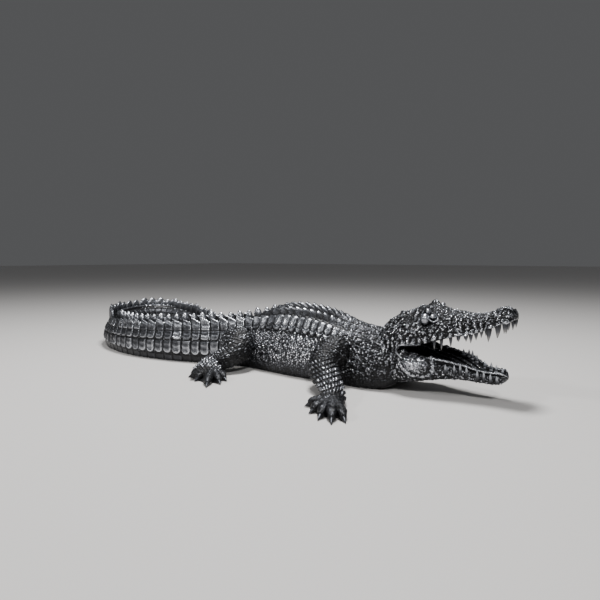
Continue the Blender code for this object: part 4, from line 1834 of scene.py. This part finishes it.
@dataclass
class Teeth:
    """The teeth of both jaws, each from its root to its tip.

    An upper tooth is given by the x, the y away from the middle and the z of its tip, and by its
    half thickness. A lower one is given by its x, its y away from the middle, and the z of its
    root and of its tip.
    """

    cast: CastFrame
    shared: ConeTree
    skull: HeadPart
    upper = (
        (31.97, 3.4, 7.14, 0.28), (32.97, 3.2, 7.06, 0.28), (34.22, 2.8, 7.54, 0.28),
        (35.33, 2.6, 8.50, 0.34), (36.35, 2.4, 8.58, 0.34), (36.99, 2.3, 8.41, 0.34),
        (37.71, 2.2, 8.89, 0.34), (39.46, 2.2, 8.82, 0.44), (40.61, 2.2, 9.54, 0.38),
        (41.53, 2.2, 10.18, 0.34), (42.02, 1.9, 10.63, 0.28),
    )
    lower_near = (
        (33.66, 3.45, 4.15, 5.12), (34.87, 3.15, 4.12, 5.15), (35.67, 2.95, 4.15, 5.50),
        (36.54, 2.8, 3.95, 5.10), (38.03, 2.62, 3.55, 4.69), (38.92, 2.52, 3.52, 4.67),
        (39.81, 2.42, 3.40, 4.39), (40.60, 2.1, 3.30, 4.15),
    )
    lower_far = (
        (34.40, 1.95, 5.90, 6.75), (35.24, 1.92, 5.75, 6.80), (35.78, 1.88, 5.45, 6.70),
        (36.48, 1.84, 5.05, 6.10), (37.68, 1.78, 4.30, 5.35), (38.67, 1.7, 4.10, 5.25),
        (39.43, 1.62, 3.95, 4.95), (40.40, 1.4, 3.80, 4.60),
    )
    sunk: float = 0.30
    near_thickness: float = 0.22
    far_thickness: float = 0.26

    def stand(self, root: Array, tip: Array, thick: float) -> Stand:
        """Where one tooth stands.

        Args:
            root: Its root.
            tip: Its tip.
            thick: Its half thickness at the root.

        Returns:
            Its root set into the gum, its tip and its size.
        """
        length = float(np.linalg.norm(tip - root))
        lean = (tip - root) / length
        return root - lean * self.sunk, tip, np.array([thick, thick, length + self.sunk])

    def uppers(self) -> list[Stand]:
        """The upper teeth of both sides.

        Returns:
            Root, tip and size of each.
        """
        found = []
        for x, y, z, thick in self.upper:
            root_x = x - 0.12
            _, width, low, _ = self.skull.track.at(np.array(root_x - self.skull.rows[0][0]))
            for side in Side:
                root = np.array([root_x, side.value * min(0.95 * width, y + 0.15), low + 0.02])
                tip = np.array([x, side.value * y, z])
                found.append(self.stand(self.skull.tilted(root), self.skull.tilted(tip), thick))
        return found

    def lowers(self) -> list[Stand]:
        """The lower teeth of both sides.

        Returns:
            Root, tip and size of each.
        """
        found = []
        for side, teeth, thick in (
            (Side.RIGHT, self.lower_near, self.near_thickness),
            (Side.LEFT, self.lower_far, self.far_thickness),
        ):
            for x, y, low, high in teeth:
                root, tip = (np.array([x, side.value * y, z]) for z in (low, high))
                found.append(self.stand(root, tip + (0.05, side.value * 0.05, 0.0), thick))
        return found

    def gums(self) -> list[Stand]:
        """Round swellings of the gum under the lower teeth.

        Returns:
            Root, tip and size of each.
        """
        found = []
        for side, teeth, inward, broad in (
            (Side.RIGHT, self.lower_near, 0.14, 0.30), (Side.LEFT, self.lower_far, 0.0, 0.42),
        ):
            for x, y, low, _ in teeth:
                root = np.array([x, side.value * (y - inward), low - 0.38])
                found.append((root, root + (0.0, 0.0, 1.0), np.array([broad, broad, 0.66])))
        return found

    def build(self, upper_finish: bpy.types.Material, lower_finish: bpy.types.Material) -> None:
        """Make the teeth and their gums.

        Args:
            upper_finish: The upper teeth's finish.
            lower_finish: That of the lower teeth and their gums.
        """
        back = np.array([-1.0, 0.0, 0.0])
        for name, stands, light, taper, finish in (
            ("upper_teeth", self.uppers(), 0.62, 1.7, upper_finish),
            ("lower_teeth", self.lowers(), 1.0, 2.6, lower_finish),
        ):
            cones = Cones(
                self.cast, self.shared, name, bend=0.4, taper=taper, dark_root=0.2, light_tip=light,
            )
            cones.build(stands, back, finish)
        gums = Cones(
            self.cast, self.shared, "gums", rings=8, bend=0.0, taper=2.6, dark_root=0.05,
            light_tip=0.85,
        )
        gums.build(self.gums(), back, lower_finish)


@dataclass(frozen=True)
class RubbedSilver:
    """Silver over a black ground, rubbed back so that raised scales shine."""

    name: str
    bright: tuple[float, float, float] = (0.70, 0.72, 0.77)
    middle: tuple[float, float, float] = (0.085, 0.088, 0.098)
    ground: tuple[float, float, float] = (0.005, 0.005, 0.006)
    grain: float = 520.0
    wear: float = 0.36
    relief: float = 0.45
    gloss: float = 0.20
    metal: float = 1.0
    bump_depth: float = 0.0016

    def material(self, groups: "ShaderGroups") -> bpy.types.Material:
        """Build the finish.

        Args:
            groups: The shared effects.

        Returns:
            The material.
        """
        material = bpy.data.materials.new(self.name)
        material.use_nodes = True
        tree = material.node_tree
        link = tree.links.new
        shader = tree.nodes["Principled BSDF"]
        coords = tree.nodes.new("ShaderNodeTexCoord")
        effect = tree.nodes.new("ShaderNodeGroup")
        effect.node_tree = groups.tree
        for label, colour in (("Bright", self.bright), ("Middle", self.middle), ("Ground", self.ground)):
            effect.inputs[label].default_value = (*colour, 1.0)
        for label in ("Grain", "Wear", "Gloss", "Metal"):
            effect.inputs[label].default_value = getattr(self, label.lower())
        link(coords.outputs["Object"], effect.inputs["Place"])
        for label in ("Tone", "Rub", "Fine"):
            kept = tree.nodes.new("ShaderNodeAttribute")
            kept.attribute_name = label.lower()
            link(kept.outputs["Fac"], effect.inputs[label])
        link(effect.outputs["Colour"], shader.inputs["Base Color"])
        link(effect.outputs["Roughness"], shader.inputs["Roughness"])
        link(effect.outputs["Metal"], shader.inputs["Metallic"])
        bump = tree.nodes.new("ShaderNodeBump")
        bump.inputs["Strength"].default_value = self.relief
        bump.inputs["Distance"].default_value = self.bump_depth
        link(effect.outputs["Height"], bump.inputs["Height"])
        link(bump.outputs["Normal"], shader.inputs["Normal"])
        return material


class ShaderGroups(Nodes):
    """The effect that every finish uses, built once."""

    def __init__(self) -> None:
        """Build it."""
        super().__init__("rubbed_silver", "ShaderNodeTree")
        self.sockets("INPUT", (
            ("Place", "Vector"), ("Tone", "Float"), ("Rub", "Float"), ("Fine", "Float"),
            ("Bright", "Color"), ("Middle", "Color"), ("Ground", "Color"),
            ("Grain", "Float"), ("Wear", "Float"), ("Gloss", "Float"), ("Metal", "Float"),
        ))
        self.sockets("OUTPUT", (
            ("Colour", "Color"), ("Roughness", "Float"), ("Metal", "Float"), ("Height", "Float"),
        ))
        self.fill()

    def noise(
        self, start: bpy.types.Node, scale: object, detail: float, twist: float = 0.0
    ) -> bpy.types.NodeSocket:
        """Uneven numbers over the surface, centred on 0.

        Args:
            start: The group's inputs.
            scale: Socket or number that sets how fine they are.
            detail: How many finer layers there are.
            twist: How much they wind.

        Returns:
            The socket with the numbers.
        """
        node = self.add("ShaderNodeTexNoise", {
            "Vector": start.outputs["Place"], "Scale": scale, "Detail": detail, "Distortion": twist,
        })
        return self.sums("SUBTRACT", node.outputs["Fac"], 0.5)

    def between(self, value: bpy.types.NodeSocket, low: float, high: float) -> bpy.types.NodeSocket:
        """Go smoothly from 0 to 1 as a value passes between two numbers.

        Args:
            value: The value.
            low: Where it starts.
            high: Where it ends.

        Returns:
            The socket with the share.
        """
        node = self.add("ShaderNodeMapRange", {"Value": value, "From Min": low, "From Max": high},
                        interpolation_type="SMOOTHSTEP")
        return node.outputs["Result"]

    def blend(self, share: bpy.types.NodeSocket, first: bpy.types.NodeSocket,
              second: bpy.types.NodeSocket) -> bpy.types.NodeSocket:
        """Mix two colours.

        Args:
            share: How much of the second.
            first: A colour.
            second: Another one.

        Returns:
            The socket with the mix.
        """
        return self.add("ShaderNodeMix", {"Factor": share, 6: first, 7: second}, data_type="RGBA").outputs[2]

    def fill(self) -> None:
        """Silver over black: bright where raised and rubbed, dark in the grooves."""
        start = self.add("NodeGroupInput")
        given = start.outputs
        patches = self.noise(start, 16.0, 4.0)
        specks = self.noise(start, given["Grain"], 3.0)
        winding = self.noise(start, 150.0, 2.0, 1.0)
        line = self.sums("SUBTRACT", 1.0, self.sums("MULTIPLY", self.sums("ABSOLUTE", winding, 0.0), 9.0))
        line = self.between(line, 0.0, 1.0)
        rugged = self.sums("MULTIPLY", self.sums("SUBTRACT", line, 0.42), given["Fine"])
        uneven = self.sums("ADD", patches, self.sums("MULTIPLY", specks, 0.8))
        wear = self.sums("MULTIPLY", uneven, given["Wear"])
        wear = self.sums("ADD", wear, self.sums("MULTIPLY", rugged, 0.75))
        base = self.sums("ADD", given["Tone"], self.sums("MULTIPLY", given["Rub"], 0.55))
        worn = self.sums("ADD", base, self.sums("MULTIPLY", wear, self.between(base, -0.05, 0.35)))
        silvered = self.between(worn, 0.04, 0.50)
        polished = self.between(worn, 0.40, 1.0)
        dark = self.blend(silvered, given["Ground"], given["Middle"])
        dull = self.sums("MULTIPLY", self.sums("SUBTRACT", 1.0, polished), 0.16)
        rough = self.sums("ADD", self.sums("ADD", dull, given["Gloss"]), self.sums("MULTIPLY", specks, 0.25))
        self.add("NodeGroupOutput", {
            "Colour": self.blend(polished, dark, given["Bright"]),
            "Roughness": rough,
            "Metal": self.sums(
                "MULTIPLY", self.sums("ADD", self.sums("MULTIPLY", silvered, 0.55), 0.4), given["Metal"],
            ),
            "Height": self.sums("ADD", self.sums("MULTIPLY", specks, 0.6), rugged),
        })


# Folds of skin on the right side of the head: points of the axis, each with its thickness.
EYE_RIM = (
    (30.55, 3.2, 12.45, 0.08), (30.77, 3.6, 11.90, 0.10), (31.25, 3.75, 11.46, 0.11),
    (31.84, 3.75, 11.26, 0.11), (32.22, 3.55, 11.48, 0.10), (32.24, 3.15, 11.9, 0.08),
)
MOUTH_CORNER = (
    (30.0, 4.3, 7.75, 0.12), (28.4, 4.65, 7.6, 0.15), (27.1, 4.78, 7.5, 0.18),
    (26.5, 4.85, 7.05, 0.20), (26.35, 4.85, 6.5, 0.20), (26.75, 4.8, 5.9, 0.19),
    (27.5, 4.75, 5.4, 0.10),
)
# The near legs: rows of the axis with half width and half height, the palm, and the claws' tips.
LEGS = {
    Limb.FRONT: (
        (
            (15.2, -2.2, 5.2, 2.9, 2.4), (15.6, -5.2, 5.3, 2.9, 2.5), (15.5, -7.5, 4.5, 2.5, 2.2),
            (16.4, -9.8, 3.1, 2.15, 1.8), (19.3, -12.4, 1.9, 1.75, 1.35), (21.6, -14.9, 1.2, 1.55, 1.0),
            (22.8, -17.0, 0.9, 1.75, 0.8), (23.5, -18.6, 0.75, 1.5, 0.65),
        ),
        (22.6, -16.4),
        ((19.6, -19.2), (22.1, -21.6), (24.7, -23.2), (27.0, -23.5), (28.2, -22.0)),
    ),
    Limb.HIND: (
        (
            (-7.4, -1.8, 4.7, 3.4, 2.6), (-6.4, -4.6, 4.8, 3.5, 2.7), (-4.6, -7.1, 4.2, 3.0, 2.5),
            (-4.6, -9.4, 2.9, 2.5, 1.9), (-6.2, -11.6, 1.7, 2.0, 1.4), (-5.6, -13.6, 1.2, 2.1, 1.0),
            (-4.2, -15.4, 0.9, 2.4, 0.8), (-3.2, -16.8, 0.75, 2.2, 0.65),
        ),
        (-4.6, -13.6),
        ((-6.8, -17.2), (-3.7, -18.5), (1.0, -20.2), (1.4, -17.4), (0.6, -15.1)),
    ),
}
STEPS = {
    (Limb.FRONT, Side.RIGHT): 0.0,
    (Limb.FRONT, Side.LEFT): -2.5,
    (Limb.HIND, Side.RIGHT): 0.0,
    (Limb.HIND, Side.LEFT): 3.0,
}


@dataclass
class Studio:
    """Pale floor, soft lights and the camera at the photograph's angle."""

    cast: CastFrame
    camera_place: tuple[float, float, float] = (61.73, -76.0, 20.74)
    camera_pitch: float = 4.71
    camera_turn: float = 37.0
    lens: float = 31.2
    floor_size: float = 40.0
    floor_gap: float = 0.0005
    floor_colour: tuple[float, float, float, float] = (0.76, 0.74, 0.72, 1.0)

    def build(self) -> None:
        """Set up everything that isn't the sculpture."""
        self.floor()
        self.camera()
        self.lights()

    def floor(self) -> None:
        """A plain pale floor, under the cast."""
        half = self.floor_size / 2.0
        mesh = bpy.data.meshes.new("floor")
        low = -self.floor_gap
        corners = [(-half, -half, low), (half, -half, low), (half, half, low), (-half, half, low)]
        mesh.from_pydata(corners, [], [(0, 1, 2, 3)])
        floor = bpy.data.objects.new("floor", mesh)
        bpy.context.scene.collection.objects.link(floor)
        material = bpy.data.materials.new("pale_floor")
        material.use_nodes = True
        shader = material.node_tree.nodes["Principled BSDF"]
        shader.inputs["Base Color"].default_value = self.floor_colour
        shader.inputs["Roughness"].default_value = 0.7
        mesh.materials.append(material)

    def camera(self) -> None:
        """A camera at the photograph's height, turn, tilt and lens."""
        data = bpy.data.cameras.new("view")
        data.lens = self.lens
        data.sensor_width = 36.0
        data.clip_start = 0.01
        camera = bpy.data.objects.new("view", data)
        camera.location = self.cast.metres(np.array(self.camera_place))
        turn = (math.radians(90.0 - self.camera_pitch), 0.0, math.radians(self.camera_turn))
        camera.rotation_euler = turn
        bpy.context.scene.collection.objects.link(camera)
        bpy.context.scene.camera = camera

    def lights(self) -> None:
        """Soft lights from above, from the front and from the left."""
        for name, place, aim, size, power in (
            ("above", (0.1, 0.2, 2.6), (0.0, 0.0, 0.0), 0.6, 82.0),
            ("front", (2.2, -2.2, 2.4), (0.2, 0.0, 0.1), 0.40, 42.0),
            ("left", (-1.4, -2.4, 2.2), (-0.2, 0.0, 0.1), 0.40, 30.0),
        ):
            light = bpy.data.lights.new(name, "AREA")
            light.size = size
            light.energy = power
            lamp = bpy.data.objects.new(name, light)
            lamp.location = place
            ray = np.array(aim) - np.array(place)
            lamp.rotation_euler = (
                math.atan2(math.hypot(ray[0], ray[1]), -ray[2]),
                0.0,
                math.atan2(-ray[0], ray[1]),
            )
            bpy.context.scene.collection.objects.link(lamp)
        world = bpy.data.worlds.new("studio")
        world.use_nodes = True
        world.node_tree.nodes["Background"].inputs["Color"].default_value = (0.72, 0.73, 0.75, 1.0)
        world.node_tree.nodes["Background"].inputs["Strength"].default_value = 0.13
        bpy.context.scene.world = world


def main() -> None:
    """Build the sculpture's pieces in order, and the studio round them."""
    logging.basicConfig(level=logging.INFO, format="%(name)s: %(message)s")
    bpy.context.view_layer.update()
    cast = CastFrame.from_box()
    groups = ShaderGroups()
    hide_finish = RubbedSilver("hide_silver").material(groups)
    tooth_silver = RubbedSilver("tooth_silver", bright=(0.62, 0.60, 0.57), wear=0.15, gloss=0.18)
    tooth_finish = tooth_silver.material(groups)
    gum_finish = RubbedSilver("gum_silver", wear=0.15, gloss=0.25, metal=0.4).material(groups)
    smooth_finish = RubbedSilver("smooth_silver", wear=0.12, gloss=0.26, relief=0.08).material(groups)
    Studio(cast).build()
    shared = ConeTree()
    hide = Hide(cast)
    hide.build(hide_finish)
    for row in CREST_ROWS:
        hide.crest(row, shared, hide_finish)
    skull, jaw = Skull(cast), LowerJaw(cast)
    skull.build(hide_finish)
    jaw.build(hide_finish)
    Ball("eye", (30.36, 3.30, 11.52), (0.68, 0.85, 0.88)).build(cast, skull, smooth_finish)
    Ball("brow_knob", (30.62, 2.85, 12.72), (0.36, 0.62, 0.44)).build(cast, skull, smooth_finish)
    Ball("lid", (31.50, 3.05, 12.0), (0.50, 0.75, 0.40)).build(cast, skull, smooth_finish)
    Fold("eye_rim", EYE_RIM).build(cast, skull, smooth_finish)
    Fold("mouth_corner", MOUTH_CORNER, tone=0.6).build(cast, skull, hide_finish)
    Teeth(cast, shared, skull).build(tooth_finish, gum_finish)
    legs = [Leg(cast, limb, side, *LEGS[limb], STEPS[limb, side]) for limb in Limb for side in Side]
    for leg in legs:
        leg.build(hide_finish)
    claws = [claw for leg in legs for claw in leg.claws()]
    Cones(cast, shared, "claws", bend=-0.2, taper=1.7, dark_root=0.22, light_tip=0.60, painted_shade_side=0.85).build(
        claws, np.array([0.0, 0.0, 1.0]), hide_finish)


if __name__ == "__main__":
    main()
